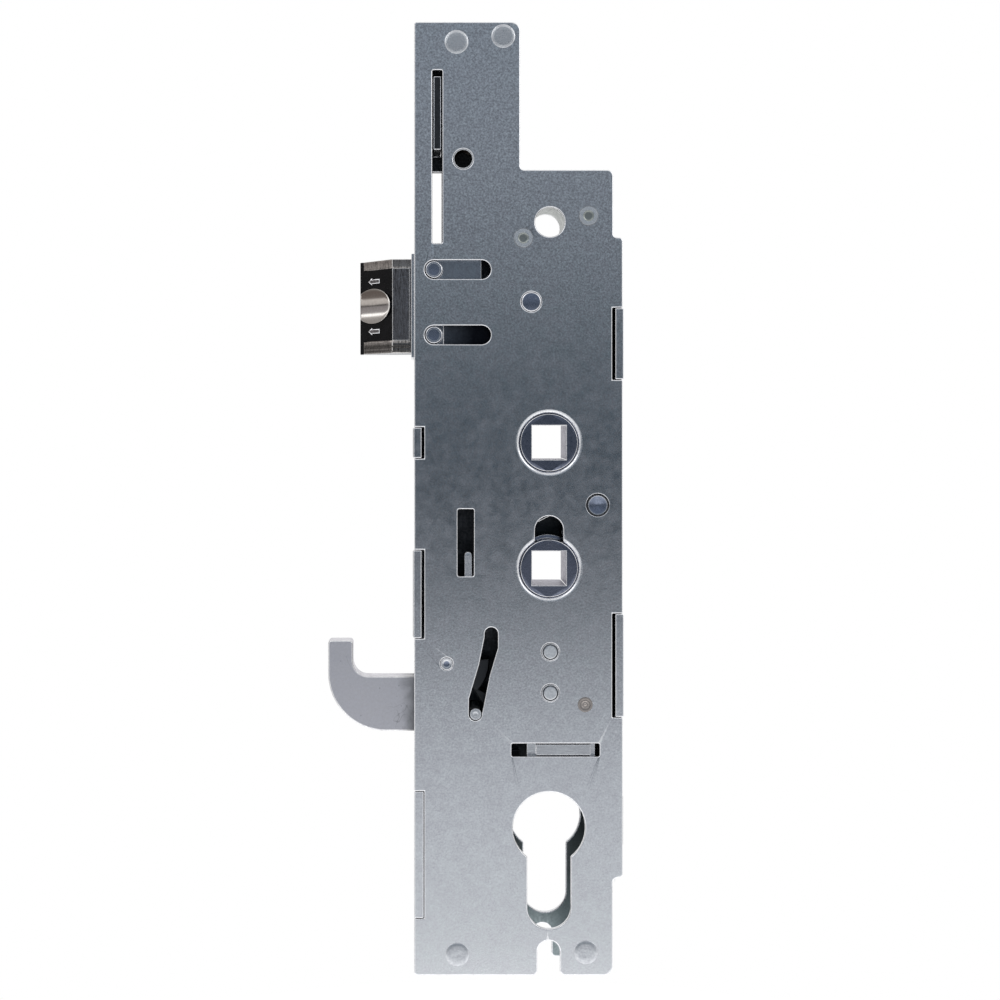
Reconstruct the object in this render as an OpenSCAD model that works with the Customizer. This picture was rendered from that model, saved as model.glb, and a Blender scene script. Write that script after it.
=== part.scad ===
// Centre case of a multipoint door lock, with a sprung latch, two spindle followers,
// two drive slides that move opposite ways, a swinging hook and a key-driven deadlock.
// The origin is the cylinder's axis at half the case's depth. +Z is up, +X runs from the
// door's edge into the door, and the cover faces -Y.

/* [Case] */
// Depth of the case over both plates
case_depth = 16; // [15:0.5:20]
// Thickness of the cover and of the rear plate
plate_t = 1.5; // [1:0.1:1.8]
// Thickness of the folded edge walls
wall_t = 1.8; // [1.2:0.1:2]
// Door-edge side of the case, from the cylinder's axis
front_edge = 32.2; // [32:0.1:34]
// Rear side of the case, from the cylinder's axis
rear_edge = 17.6; // [17.2:0.1:20]
// Rear side of the shoulder that holds the fixing hole
shoulder_edge = 15.3; // [14.5:0.1:17]
// Rear side of the foot below the cylinder
foot_edge = 15.2; // [14:0.1:17]
// Rear side of the narrow top, before the cylinder's axis
neck_edge = 6.9; // [6.5:0.1:8]
// Height of the case's top
top_z = 192.4; // [191.5:0.1:196]
// Height of the shoulder
shoulder_z = 157.1; // [154:0.1:157.6]
// Height where the full width begins
full_width_z = 141; // [139:0.1:141.5]
// Height where the foot begins
foot_z = -11.95; // [-13:0.05:-10]
// Height of the bottom edge
bottom_z = -35.1; // [-37:0.1:-34]

/* [Cylinder hole] */
// Diameter of the round head of the cylinder hole
cylinder_head_d = 17.3; // [17.2:0.1:18]
// Width of the cylinder hole's stem
cylinder_stem_w = 10.4; // [10.3:0.1:11]
// Depth of the stem's round end below the axis
cylinder_stem_z = 24.1; // [23.5:0.1:24.6]

/* [Spindles] */
// Height of the upper spindle over the cylinder's axis
upper_spindle_z = 92; // [91.5:0.1:92.5]
// Height of the lower spindle over the cylinder's axis
lower_spindle_z = 62; // [61.5:0.1:62.4]
// Width of the spindle's square hole
spindle_square = 8.2; // [8:0.1:8.4]
// Diameter of a follower's journals
journal_d = 13.7; // [13:0.1:14]
// Diameter of a follower's flange
flange_d = 15.6; // [15:0.1:18]
// Diameter of the drive pins on the follower and the reversing lever
crank_pin_d = 4; // [3:0.1:4.4]
// Angle that a follower turns through
spindle_turn = 54; // [50:0.5:56]

/* [Drive] */
// Travel of the drive slides
drive_travel = 18.8; // [18:0.1:19]
// Thickness of a drive slide
slide_t = 2.6; // [2:0.1:2.7]
// Reach of the reversing lever's arms
reverser_reach = 14.5; // [14:0.1:14.6]
// Thickness of the reversing lever
reverser_t = 2.1; // [1.5:0.1:2.2]
// Diameter of the pin that the latch lever and the reversing lever turn on
lever_pin_d = 4.7; // [4:0.1:4.8]

/* [Latch] */
// Travel of the latch
latch_travel = 11.2; // [10.5:0.1:11.2]
// How far the latch stands out of the case
latch_reach = 13.2; // [12.8:0.1:13.8]
// Height of the latch
latch_h = 22.5; // [22:0.1:23.4]
// Depth of the latch across the door's thickness
latch_depth = 12.4; // [11.5:0.1:12.6]
// Height of the latch's middle
latch_z = 124.7; // [124.4:0.1:125]
// Length of the latch's slope along its travel
latch_slope = 7.95; // [7:0.05:8.4]
// Thickness of the plastic left at the latch's tip
latch_tip_t = 2.4; // [1:0.1:3]
// Diameter of the round button in the latch's tip
latch_button_d = 8.6; // [7:0.1:9]
// Diameter of the latch's guide pins
guide_pin_d = 4; // [3.5:0.05:4.4]

/* [Hook] */
// Thickness of the hook
hook_t = 6; // [5:0.1:6.2]
// Angle that the hook swings through
hook_swing = 90; // [86:0.5:91]
// Diameter of the hook's pivot
hook_pivot_d = 3.35; // [3:0.05:4]
// Diameter of the pin that drives the hook
drive_pin_d = 2.75; // [2.5:0.05:2.9]
// How far the hook's nose stands out of the case
hook_reach = 20.8; // [20:0.05:21]
// Width of the hook's upturned nose
hook_nose_w = 6; // [5:0.05:6.2]

/* [Deadlock] */
// Travel of the deadlock slide
deadlock_travel = 5.5; // [5:0.1:5.5]
// Length of the deadlock slide's block in its slot
deadlock_block_w = 13; // [12:0.1:14]

/* [Fixings] */
// Diameter of the round fixing hole
fixing_hole_d = 7.1; // [6.6:0.1:8.2]
// Diameter of the tapped hole
tapped_hole_d = 4.2; // [3.3:0.1:5]
// Diameter of the domed rivet heads
dome_d = 5.7; // [5:0.1:6.2]
// Height of the domed rivet heads
dome_h = 0.55; // [0.4:0.05:1.5]

/* [Hidden] */
$fn = 64;

// clearances
fit_gap = 0.05;
part_gap = 0.4;
seat_gap = 0.3;

// depth planes, from the cover's face at the front to the rear face
half_depth = case_depth / 2;
cover_back = -half_depth + plate_t;
rear_front = half_depth - plate_t;
slide_y0 = rear_front - seat_gap - slide_t;
slide_y1 = rear_front - seat_gap;
reverser_y1 = slide_y0 - seat_gap;
reverser_y0 = reverser_y1 - reverser_t;
carriage_y0 = cover_back + seat_gap;
carriage_y1 = reverser_y0 - seat_gap;
front_layer_t = 2.8;
front_layer_y1 = carriage_y0 + front_layer_t;
middle_t = hook_t;
middle_y = middle_t / 2;

// main places in the case's face, as [x, z]
upper_spindle = [0, upper_spindle_z];
lower_spindle = [0, lower_spindle_z];
lever_at = [-4.25, 125.6];
hook_at = [-24.45, 39.2];
detent_at = [11.6, 77.1];
fixing_at = [0.2, 144.65];
tapped_at = [-20.5, top_z - 32.7];
stop_rivet_at = [8.6, 29.5];
post_at = [[0.3, 42.05], [0.3, 32.25]];
corner_rivet_at = [[-22.1, top_z - 4.8], [-10.95, top_z - 3.4],
    [-21.9, bottom_z + 5], [8.8, bottom_z + 5.5]];
dimpled_rivet_at = [[9.4, 146.1], [-6.15, 140.8]];
anchor_at = [-19.25, 60.2];

// the latch's parts
latch_back_x = -front_edge - 0.7;
latch_tip_x = -front_edge - latch_reach;
slope_start_x = latch_tip_x + latch_slope;
latch_half = latch_depth / 2;
guide_pin_z = [latch_z + 8.6, latch_z - 7];
guide_pin_x = -27.5;
guide_slot_r = guide_pin_d / 2 + 0.22;
guide_slot_x = [guide_pin_x - guide_pin_d / 2 - 0.22,
    guide_pin_x + latch_travel + guide_pin_d / 2 + 0.4];
carriage_w = 10.9;
carriage_strip = [guide_pin_z[0] - 3.2, latch_z + latch_h / 2 - 0.1];
latch_arm = 9.5;
latch_lever_turn = 2 * asin(latch_travel / 2 / latch_arm);

// crank angles: the ends of the travel meet the pins' ends exactly
crank_reach = drive_travel / 2 / sin(spindle_turn / 2);
crank_pin_r = crank_pin_d / 2;
reverser_turn = 2 * asin(drive_travel / 2 / reverser_reach);
crank_x = -crank_reach * cos(spindle_turn / 2);
crank_z = -crank_reach * sin(spindle_turn / 2);
crank_gap = 0.25;
reverser_gap = 0.45;
reverser_pin = [-reverser_reach * cos(reverser_turn / 2), drive_travel / 2];

// path of the hook's drive pin
drive_from = [-17.53, 27.15];
drive_shift = 3.74;
drive_to = drive_from + [drive_shift, drive_travel];
drive_pin_r = drive_pin_d / 2;
cam_line = [drive_to + [0, 0.4], drive_to + [0, -2.7],
    drive_from + [0, 3.45], drive_from + [-0.05, 0]];
cam_half_w = 1.55;

// openings in the plates
top_slot_x = [-27.87, -25.47];
top_slot_z = [139.6, top_z - 11.5];
window_x = [-21.82, -17.96];
window_z = [60.1, 76.1];
deadlock_block_x = [-3.05, -3.05 + deadlock_block_w];
deadlock_slot_x = [deadlock_block_x[0] - deadlock_travel - 0.4, 12.04];
deadlock_slot_z = [17.08, 20.18];
notch_x = [-2.8, 2.6];
notch_top_z = bottom_z + 8.3;
keyhole_r = 3.35;
keyhole_z = lower_spindle_z + 9.1;
latch_mouth_z = [latch_z - latch_h / 2 - 0.3, latch_z + latch_h / 2 + 0.3];
hook_mouth_z = [8.7, 45.3];

// tabs of the rear case in the cover's notches: [low, high, thickness, notch, how far proud]
front_tabs = [[88.3, 95.6, wall_t, 2.4, 0.2], [hook_mouth_z[1], 66.3, wall_t, 2.4, 0.2],
    [-21.5, hook_mouth_z[0], 2.3, 2.4, 0]];
rear_tabs = [[107.1, 124.1, wall_t, 2.5, 0.25], [26.5, 51.1, wall_t, 2.5, 0.25]];
tab_gap = 0.12;

steel = [0.66, 0.68, 0.71];
dark_steel = [0.42, 0.44, 0.47];
bright_steel = [0.78, 0.79, 0.8];

function arc_points(c, r, a0, a1, n = 8) =
    [for (i = [0:n]) c + r * [cos(a0 + (a1 - a0) * i / n), sin(a0 + (a1 - a0) * i / n)]];
function turned(p, a) = [p[0] * cos(a) - p[1] * sin(a), p[0] * sin(a) + p[1] * cos(a)];

// a flat shape in the case's face, from depth y0 to y1
module slab(y0, y1) {
    translate([0, y1, 0]) rotate([90, 0, 0]) linear_extrude(y1 - y0) children();
}

// a round bar across the case
module rod(p, d, y0, y1) {
    translate([p[0], y1, p[1]]) rotate([90, 0, 0]) cylinder(d = d, h = y1 - y0);
}

// a square-cornered box given by its spans
module span_box(x, y, z) {
    translate([x[0], y[0], z[0]]) cube([x[1] - x[0], y[1] - y[0], z[1] - z[0]]);
}

module span_square(x, z) {
    translate([x[0], z[0]]) square([x[1] - x[0], z[1] - z[0]]);
}

// a rectangle with round corners
module round_square(x, z, r) {
    span_square([x[0] + r, x[1] - r], z);
    span_square(x, [z[0] + r, z[1] - r]);
    for (cx = [x[0] + r, x[1] - r], cz = [z[0] + r, z[1] - r]) translate([cx, cz]) circle(r);
}

// a straight bar of even width with round ends
module stroke(from, to, r) {
    for (p = [from, to]) translate(p) circle(r);
    flat_band(from, to, r);
}

// the same bar with square ends
module flat_band(from, to, r) {
    d = to - from;
    translate(from) rotate(atan2(d[1], d[0])) translate([0, -r]) square([norm(d), 2 * r]);
}

function heading(from, to) = atan2(to[1] - from[1], to[0] - from[0]);

// the corner of one side of a band, where its line bends
function band_corner(points, i, r) =
    let (a = heading(points[i - 1], points[i]), b = heading(points[i], points[i + 1]),
        middle = (a + b) / 2)
    points[i] + r / cos((b - a) / 2) * [cos(middle + 90), sin(middle + 90)];

// a band of even width along a gently bent line, with round ends
module bent_band(points, r) {
    last = len(points) - 1;
    a = heading(points[0], points[1]);
    b = heading(points[last - 1], points[last]);
    polygon(concat(
        arc_points(points[0], r, a + 90, a + 270, 16),
        [for (i = [1:1:last - 1]) band_corner(points, i, -r)],
        arc_points(points[last], r, b - 90, b + 90, 16),
        [for (i = [last - 1:-1:1]) band_corner(points, i, r)]));
}

// outline of both plates
module plate_outline() {
    top_r = 2.1;
    foot_r = 0.4 * (rear_edge - foot_edge);
    step_r = 0.4 * (rear_edge - shoulder_edge);
    polygon(concat(
        arc_points([-front_edge + 0.7, bottom_z + 0.7], 0.7, 180, 270),
        arc_points([foot_edge - 1.9, bottom_z + 1.9], 1.9, 270, 360),
        arc_points([foot_edge + foot_r, foot_z - foot_r], foot_r, 180, 90),
        arc_points([rear_edge - foot_r, foot_z + foot_r], foot_r, 270, 360),
        arc_points([rear_edge - step_r, full_width_z - step_r], step_r, 0, 90),
        arc_points([shoulder_edge + step_r, full_width_z + step_r], step_r, 270, 180),
        arc_points([shoulder_edge - 1.4, shoulder_z - 1.4], 1.4, 0, 90),
        arc_points([-neck_edge + 1, shoulder_z + 1], 1, 270, 180),
        arc_points([-neck_edge - top_r, top_z - top_r], top_r, 0, 90),
        arc_points([-front_edge + 0.5, top_z - 0.5], 0.5, 90, 180)));
}

// the cylinder's profile: a round head and a stem with a round end
module cylinder_profile() {
    circle(d = cylinder_head_d);
    stem_r = cylinder_stem_w / 2;
    span_square([-stem_r, stem_r], [-cylinder_stem_z + stem_r, 0]);
    translate([0, -cylinder_stem_z + stem_r]) circle(stem_r);
}

// arch-topped notch in the bottom edge, with rounded corners at its mouth
module bottom_notch(x) {
    r = (x[1] - x[0]) / 2;
    mouth_r = 1;
    mouth_z = [bottom_z - 1, bottom_z + mouth_r];
    span_square(x, [bottom_z - 1, notch_top_z - r]);
    translate([x[0] + r, notch_top_z - r]) circle(r);
    difference() {
        span_square([x[0] - mouth_r, x[1] + mouth_r], mouth_z);
        for (c = [x[0] - mouth_r, x[1] + mouth_r]) {
            translate([c, mouth_z[1]]) circle(mouth_r);
        }
    }
}

// holes that both plates share
module shared_holes() {
    cylinder_profile();
    round_square(top_slot_x, top_slot_z, 0.4);
    translate(fixing_at) circle(d = fixing_hole_d);
    for (p = corner_rivet_at) translate(p) circle(d = rivet_shank_d + 2 * fit_gap);
    for (p = dimpled_rivet_at) translate(p) circle(d = dimpled_shank_d + 2 * fit_gap);
    translate(lever_at) circle(d = lever_pin_d + 2 * fit_gap);
    translate(hook_at) circle(d = hook_end_d + 2 * fit_gap);
    translate(upper_spindle) circle(d = journal_d + 2 * fit_gap);
    translate(lower_spindle) circle(d = journal_d + 2 * fit_gap);
}

rivet_shank_d = 3.8;
spacer_d = 6;
dimpled_d = 4.7;
dimpled_shank_d = 3.9;
hook_end_d = hook_pivot_d - 0.45;
detent_head_d = 5.2;
post_d = 4.1;
stop_rivet_d = 3.55;
stop_shank_d = 2.9;
bush_d = tapped_hole_d + 0.5;
rim_h = 0.5;

module front_cover() color(steel) {
    difference() {
        slab(-half_depth, cover_back) difference() {
            plate_outline();
            shared_holes();
            bottom_notch(notch_x);
            translate(tapped_at) circle(d = bush_d + 2 * fit_gap);
            for (z = guide_pin_z) {
                stroke([guide_slot_x[0] + guide_slot_r, z], [guide_slot_x[1] - guide_slot_r, z],
                    guide_slot_r);
            }
            translate([0, keyhole_z]) circle(keyhole_r);
            span_square([-keyhole_r, keyhole_r], [lower_spindle_z, keyhole_z]);
            round_square(window_x, window_z, 0.4);
            round_square(deadlock_slot_x, deadlock_slot_z, 0.4);
            bent_band(cam_line, cam_half_w);
            flat_band(drive_from, drive_to, drive_pin_r + 0.08);
            translate(detent_at) circle(d = detent_head_d + 2 * fit_gap);
            for (p = post_at) translate(p) circle(d = post_d + 2 * fit_gap);
            translate(stop_rivet_at) circle(d = stop_shank_d + 2 * fit_gap);
            for (t = front_tabs) {
                span_square([-front_edge - 1, -front_edge + t[3]],
                    [t[0] - tab_gap, t[1] + tab_gap]);
            }
            for (t = rear_tabs) {
                span_square([rear_edge - t[3], rear_edge + 1],
                    [t[0] - tab_gap, t[1] + tab_gap]);
            }
        }
        // eased mouths of the follower holes
        for (p = [upper_spindle, lower_spindle]) {
            translate([p[0], -half_depth + rim_h, p[1]]) rotate([90, 0, 0])
                cylinder(d1 = journal_d + 2 * fit_gap, d2 = journal_d + 1.7, h = rim_h);
        }
    }
}

module rear_case() color(steel) {
    rear_notch_x = [notch_x[0], notch_x[1] - 0.9];
    slab(rear_front, half_depth) difference() {
        plate_outline();
        shared_holes();
        bottom_notch(rear_notch_x);
    }
    wall_y = [cover_back, rear_front];
    front_x = [-front_edge, -front_edge + wall_t];
    rear_x = [rear_edge - wall_t, rear_edge];
    span_box(front_x, wall_y, [latch_mouth_z[1], top_z - 0.6]);
    span_box(front_x, wall_y, [hook_mouth_z[1], latch_mouth_z[0]]);
    span_box(front_x, wall_y, [bottom_z + 0.8, hook_mouth_z[0]]);
    span_box(rear_x, wall_y, [foot_z + 0.9, full_width_z - 0.9]);
    // pressed bulge beside the cylinder
    span_box([rear_edge - 0.2, rear_edge + 0.4], [-5.5, 5.5], [-4.7, 7.25]);
    tab_y = [-half_depth + 0.05, cover_back];
    for (t = front_tabs) {
        span_box([-front_edge - t[4], -front_edge + t[2]], tab_y, [t[0], t[1]]);
    }
    for (t = rear_tabs) span_box([rear_edge - t[2], rear_edge + t[4]], tab_y, [t[0], t[1]]);
}

// a rivet with a domed head on each plate and a spacer between them
module domed_rivet() {
    sphere_r = (dome_d * dome_d / 4 + dome_h * dome_h) / 2 / dome_h;
    rotate_extrude() polygon(concat(
        [[0, -half_depth - dome_h]],
        [for (i = [1:6]) let (a = asin(dome_d / 2 / sphere_r) * i / 6)
            [sphere_r * sin(a), -half_depth - dome_h + sphere_r * (1 - cos(a))]],
        [[rivet_shank_d / 2, -half_depth], [rivet_shank_d / 2, cover_back],
            [spacer_d / 2, cover_back], [spacer_d / 2, rear_front],
            [rivet_shank_d / 2, rear_front], [rivet_shank_d / 2, half_depth]],
        [for (i = [6:-1:1]) let (a = asin(dome_d / 2 / sphere_r) * i / 6)
            [sphere_r * sin(a), half_depth + dome_h - sphere_r * (1 - cos(a))]],
        [[0, half_depth + dome_h]]));
}

module corner_rivets() color(bright_steel) {
    for (p = corner_rivet_at) translate([p[0], 0, p[1]]) rotate([-90, 0, 0]) domed_rivet();
}

module dimpled_rivets() color(bright_steel) {
    dimple_d = 2.4;
    head_h = 0.25;
    for (p = dimpled_rivet_at) difference() {
        union() {
            rod(p, dimpled_shank_d, -half_depth, half_depth);
            rod(p, dimpled_d, -half_depth - head_h, -half_depth);
            rod(p, dimpled_d, half_depth, half_depth + head_h);
        }
        rod(p, dimple_d, -half_depth - 1, -half_depth + 0.3);
    }
}

module fixing_tube() color(steel) {
    tube_d = 9.6;
    difference() {
        rod(fixing_at, tube_d, cover_back, rear_front);
        rod(fixing_at, fixing_hole_d, cover_back - 1, rear_front + 1);
    }
}

module tapped_bush() color(dark_steel) {
    collar_d = 7.2;
    bush_back = carriage_y0 + 2.8;
    difference() {
        union() {
            rod(tapped_at, bush_d, -half_depth, cover_back + 0.1);
            rod(tapped_at, collar_d, cover_back, bush_back);
        }
        rod(tapped_at, tapped_hole_d, -half_depth - 1, bush_back + 1);
    }
}

// thin lip round the latch's mouth
module latch_collar() color(steel) {
    lip = 0.9;
    collar_y = half_depth - 0.4;
    mouth_y = latch_half + 0.25;
    difference() {
        span_box([latch_back_x, -front_edge], [-collar_y, collar_y],
            [latch_mouth_z[0] - lip, latch_mouth_z[1] + lip]);
        span_box([latch_back_x - 1, -front_edge + 1], [-mouth_y, mouth_y], latch_mouth_z);
    }
}

latch_low = latch_z - latch_h / 2;
latch_high = latch_z + latch_h / 2;
low_cheek_h = 3;
high_cheek_h = 2.15;
tip_band_w = 0.85;
slope_y = latch_half - latch_tip_t;
// depth of the slope at a place along the travel
function slope_at(x) =
    -latch_half + (slope_start_x - x) / latch_slope * (slope_y + latch_half);

// outline of the sloped latch seen from above, between two places along its travel
module latch_section(x0, x1) {
    polygon([[x0, slope_at(x0)], [x1, slope_at(x1)], [x1, latch_half], [x0, latch_half]]);
}

module latch_head() color(bright_steel) {
    cheek_x = latch_tip_x + tip_band_w + fit_gap;
    translate([0, 0, latch_low]) linear_extrude(low_cheek_h) latch_section(cheek_x, slope_start_x);
    translate([0, 0, latch_high - high_cheek_h]) linear_extrude(high_cheek_h)
        latch_section(cheek_x, slope_start_x);
    span_box([slope_start_x, latch_back_x], [-latch_half, latch_half], [latch_low, latch_high]);
}

module latch_tip() color([0.06, 0.06, 0.07]) {
    band_x = latch_tip_x + tip_band_w;
    inner_z = [latch_low + low_cheek_h + fit_gap, latch_high - high_cheek_h - fit_gap];
    difference() {
        union() {
            translate([0, 0, latch_low]) linear_extrude(latch_h) latch_section(latch_tip_x, band_x);
            translate([0, 0, inner_z[0]]) linear_extrude(inner_z[1] - inner_z[0])
                latch_section(latch_tip_x, slope_start_x - fit_gap);
        }
        rod([button_x, button_z], latch_button_d + 2 * fit_gap, -latch_half - 1, button_back);
    }
}

button_x = latch_tip_x + 3.1;
button_z = latch_z + 0.35;
button_back = 3.4;

module latch_button() color(bright_steel) {
    proud = 0.3;
    intersection() {
        rod([button_x, button_z], latch_button_d, -latch_half, button_back);
        translate([0, -proud, latch_low]) linear_extrude(latch_h)
            latch_section(latch_tip_x, slope_start_x);
        translate([0, 0, latch_low]) linear_extrude(latch_h)
            span_square([latch_tip_x, slope_start_x], [-latch_half, latch_half]);
    }
}

latch_pin_rest = lever_at + [-latch_travel / 2, -latch_arm * cos(latch_lever_turn / 2)];
latch_pin_low = lever_at[1] - latch_arm;
latch_pin_r = 1.5;
tail_y0 = front_layer_y1 + seat_gap;

guide_pin_face = -half_depth + 0.1;
guide_pin_root = carriage_y1 - 1;

module latch_carriage() color(dark_steel) {
    body_x = [latch_back_x, latch_back_x + carriage_w];
    front_end = guide_pin_x + guide_pin_d / 2 + 0.35;
    strip_end = guide_slot_x[1] - 2.2;
    tail_end = latch_pin_rest[0] + latch_pin_r + 2.2;
    tail_z = [latch_pin_low - 3.2, latch_pin_rest[1] + latch_pin_r + 0.9];
    slot_gap = 0.2;
    difference() {
        union() {
            span_box([body_x[0], front_end], [carriage_y0, carriage_y1],
                [latch_low + 0.1, latch_high - 0.1]);
            span_box([front_end - 1, body_x[1]], [tail_y0, carriage_y1],
                [latch_low + 0.1, latch_high - 0.1]);
            // strip behind the upper guide slot
            span_box([front_end - 1, strip_end], [carriage_y0, front_layer_y1], carriage_strip);
            span_box([front_end - 1, body_x[1]], [front_layer_y1 - 0.1, tail_y0 + 0.1],
                carriage_strip);
            span_box([body_x[1] - 1, tail_end], [tail_y0, carriage_y1], tail_z);
        }
        for (z = guide_pin_z) {
            rod([guide_pin_x, z], guide_pin_d + 2 * fit_gap, carriage_y0 - 1, guide_pin_root);
        }
        span_box([latch_pin_rest[0] - latch_pin_r - slot_gap, latch_pin_rest[0] + latch_pin_r + slot_gap],
            [tail_y0 - 1, carriage_y1 + 1],
            [latch_pin_low - latch_pin_r - 0.3, latch_pin_rest[1] + latch_pin_r + slot_gap]);
    }
}

module latch_guide_pins() color(bright_steel) {
    for (z = guide_pin_z) rod([guide_pin_x, z], guide_pin_d, guide_pin_face, guide_pin_root);
}

lever_hub_d = 7;
lever_t = 1.6;
lever_y1 = carriage_y0 + lever_t;
hub_y1 = carriage_y1;

module latch_lever() color(dark_steel) {
    toe = lever_at + turned([0, -latch_arm - 4.5], -latch_lever_turn / 2);
    difference() {
        union() {
            slab(carriage_y0, lever_y1) {
                stroke(lever_at, toe, 2.3);
                translate(lever_at) circle(d = lever_hub_d + 1.6);
            }
            rod(lever_at, lever_hub_d, carriage_y0, hub_y1);
            rod(latch_pin_rest, 2 * latch_pin_r, lever_y1 - 0.2, carriage_y1 - 0.1);
        }
        rod(lever_at, lever_pin_d + 2 * fit_gap, carriage_y0 - 1, hub_y1 + 1);
    }
}

// a wound spring: a round wire carried round an axis, with a straight leg at each end.
// Each ring of the wire's surface lies in the plane through the axis.
latch_spring_wire = 0.8;
latch_spring_curls = 3;
latch_spring_pitch = 1.25;
curl_rings = 8;
wire_sides = 6;

function wire_ring(c, out, r) =
    [for (s = [0:wire_sides - 1]) let (a = 360 * s / wire_sides)
        [c[0] + r * cos(a) * out[0], c[1] + r * sin(a), c[2] + r * cos(a) * out[1]]];

// the wire's middle points and outward directions, from the first leg to the second
function coil_line(at, y0, radius, curls, pitch, start, leg0, leg1) =
    let (n = curls * curl_rings)
    concat(
        [[[at[0] + radius * cos(start) + leg0 * sin(start), y0,
            at[1] + radius * sin(start) - leg0 * cos(start)], [cos(start), sin(start)]]],
        [for (i = [0:n]) let (a = start + 360 * i / curl_rings)
            [[at[0] + radius * cos(a), y0 + pitch * i / curl_rings, at[1] + radius * sin(a)],
                [cos(a), sin(a)]]],
        let (a = start + 360 * n / curl_rings)
            [[[at[0] + radius * cos(a) - leg1 * sin(a), y0 + pitch * n / curl_rings,
                at[1] + radius * sin(a) + leg1 * cos(a)], [cos(a), sin(a)]]]);

module wire_tube(line, r) {
    rings = len(line);
    points = [for (l = line) each wire_ring(l[0], l[1], r)];
    sides = [for (i = [0:rings - 2], s = [0:wire_sides - 1])
        let (a = i * wire_sides + s, b = i * wire_sides + (s + 1) % wire_sides)
            each [[a, b, b + wire_sides], [a, b + wire_sides, a + wire_sides]]];
    last = (rings - 1) * wire_sides;
    caps = concat([for (s = [1:wire_sides - 2]) [0, s + 1, s]],
        [for (s = [1:wire_sides - 2]) [last, last + s, last + s + 1]]);
    polyhedron(points, concat(sides, caps));
}

latch_spring_r = lever_hub_d / 2 + latch_spring_wire / 2 + 0.3;
echo(latch_spring_gap = latch_spring_pitch - latch_spring_wire);

module latch_spring() color(bright_steel) {
    wire_tube(coil_line(lever_at, lever_y1 + latch_spring_wire / 2 + 0.35, latch_spring_r,
        latch_spring_curls, latch_spring_pitch, 150, 3, 3), latch_spring_wire / 2);
}

module lever_pivot() color(bright_steel) {
    rod(lever_at, lever_pin_d, -half_depth - 0.1, half_depth + 0.1);
}

// the upper drive slide: a plate behind the latch with a flange in the top slot
upper_plate_top = top_z - 8.6;
upper_plate_low = top_slot_z[0] + drive_travel - 0.2;
upper_leg_x = [-20.3, -9.2];

module upper_slide() color(steel) {
    flange_x = [top_slot_x[0] + 0.3, top_slot_x[1] - 0.3];
    flange_z = [top_slot_z[0] + drive_travel + 3.6, top_slot_z[1] - 1.4];
    slot_r = crank_pin_r + reverser_gap;
    pin_z = lever_at[1] + reverser_pin[1];
    slot_x = [lever_at[0] - reverser_reach - slot_r, lever_at[0] + reverser_pin[0] + slot_r];
    slab(slide_y0, slide_y1) difference() {
        union() {
            round_square([-29.6, upper_leg_x[1]], [upper_plate_low, upper_plate_top], 1.4);
            round_square(upper_leg_x, [pin_z - slot_r - 3, upper_plate_low + 5], 1);
        }
        span_square([slot_x[0] - 1, slot_x[1]], [pin_z - slot_r, pin_z + slot_r]);
    }
    span_box(flange_x, [-half_depth + 0.5, slide_y0 + 0.1], flange_z);
}

// the lower drive slide: a frame round the followers with a foot for the deadlock
slide_front_x = -27;
slide_inner_x = -journal_d / 2 - 0.75;
slide_rear_x = [journal_d / 2 + 1.05, rear_edge - wall_t - 0.5];
slide_foot_x = [-16, -6.4];
slide_foot_z = [14, deadlock_slot_z[0] - 0.6];

module lower_slide() color(dark_steel) {
    crank_slot = crank_pin_r + crank_gap;
    head_slot = crank_pin_r + reverser_gap;
    reverser_z = lever_at[1] - reverser_pin[1];
    head_x = [lever_at[0] + reverser_reach, lever_at[0] - reverser_pin[0]];
    slab(slide_y0, slide_y1) difference() {
        union() {
            // front bar with the followers' slots
            round_square([slide_front_x, slide_inner_x], [44.5, upper_spindle_z - 5.4], 1);
            round_square([hook_at[0] + hook_pivot_d / 2 + part_gap, deadlock_slot_x[0] - 0.35],
                [slide_foot_z[0], 50], 0.8);
            // foot under the deadlock's nose
            span_square(slide_foot_x, slide_foot_z);
            // cross bar below the lower follower
            round_square([-17, slide_rear_x[1]], [24, 35.8], 1);
            // rear bar and its head
            round_square(slide_rear_x, [24, reverser_z + 2], 1);
            round_square([head_x[1] - head_slot - 1.2, slide_rear_x[1]],
                [reverser_z - head_slot - 1.9, reverser_z + head_slot + 1.2], 1);
        }
        for (z = [upper_spindle_z, lower_spindle_z]) {
            round_square([-crank_reach - crank_slot, crank_x + crank_slot],
                [z + crank_z - crank_slot, z + crank_z + crank_slot], 1);
        }
        round_square([head_x[1] - head_slot, head_x[0] + head_slot],
            [reverser_z - head_slot, reverser_z + head_slot], 1);
        stroke(drive_from - [0.3, 0], drive_from + [drive_shift + 0.3, 0], drive_pin_r + 0.08);
    }
}

module reversing_lever() color(dark_steel) {
    reverser_half_w = 3;
    reverser_hub_r = 4.4;
    pins = [lever_at + reverser_pin, lever_at - reverser_pin];
    difference() {
        union() {
            slab(reverser_y0, reverser_y1) {
                bent_band(pins, reverser_half_w);
                translate(lever_at) circle(reverser_hub_r);
            }
            for (p = pins) rod(p, crank_pin_d, reverser_y1 - 0.2, slide_y1);
        }
        rod(lever_at, lever_pin_d + 2 * fit_gap, reverser_y0 - 1, reverser_y1 + 1);
    }
}

// a spindle follower: journals in both plates, a flange, an arm and its crank pin
module follower(at) {
    pin = at + [crank_x, crank_z];
    half_square = spindle_square / 2;
    difference() {
        union() {
            rod(at, journal_d, -half_depth, half_depth);
            slab(-middle_y, middle_y) {
                translate(at) circle(d = flange_d);
                stroke(at, pin, crank_pin_r + 1.2);
            }
            rod(pin, crank_pin_d, middle_y - 0.2, slide_y1);
        }
        slab(-half_depth - 1, half_depth + 1)
            span_square([at[0] - half_square, at[0] + half_square],
                [at[1] - half_square, at[1] + half_square]);
    }
}

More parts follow.
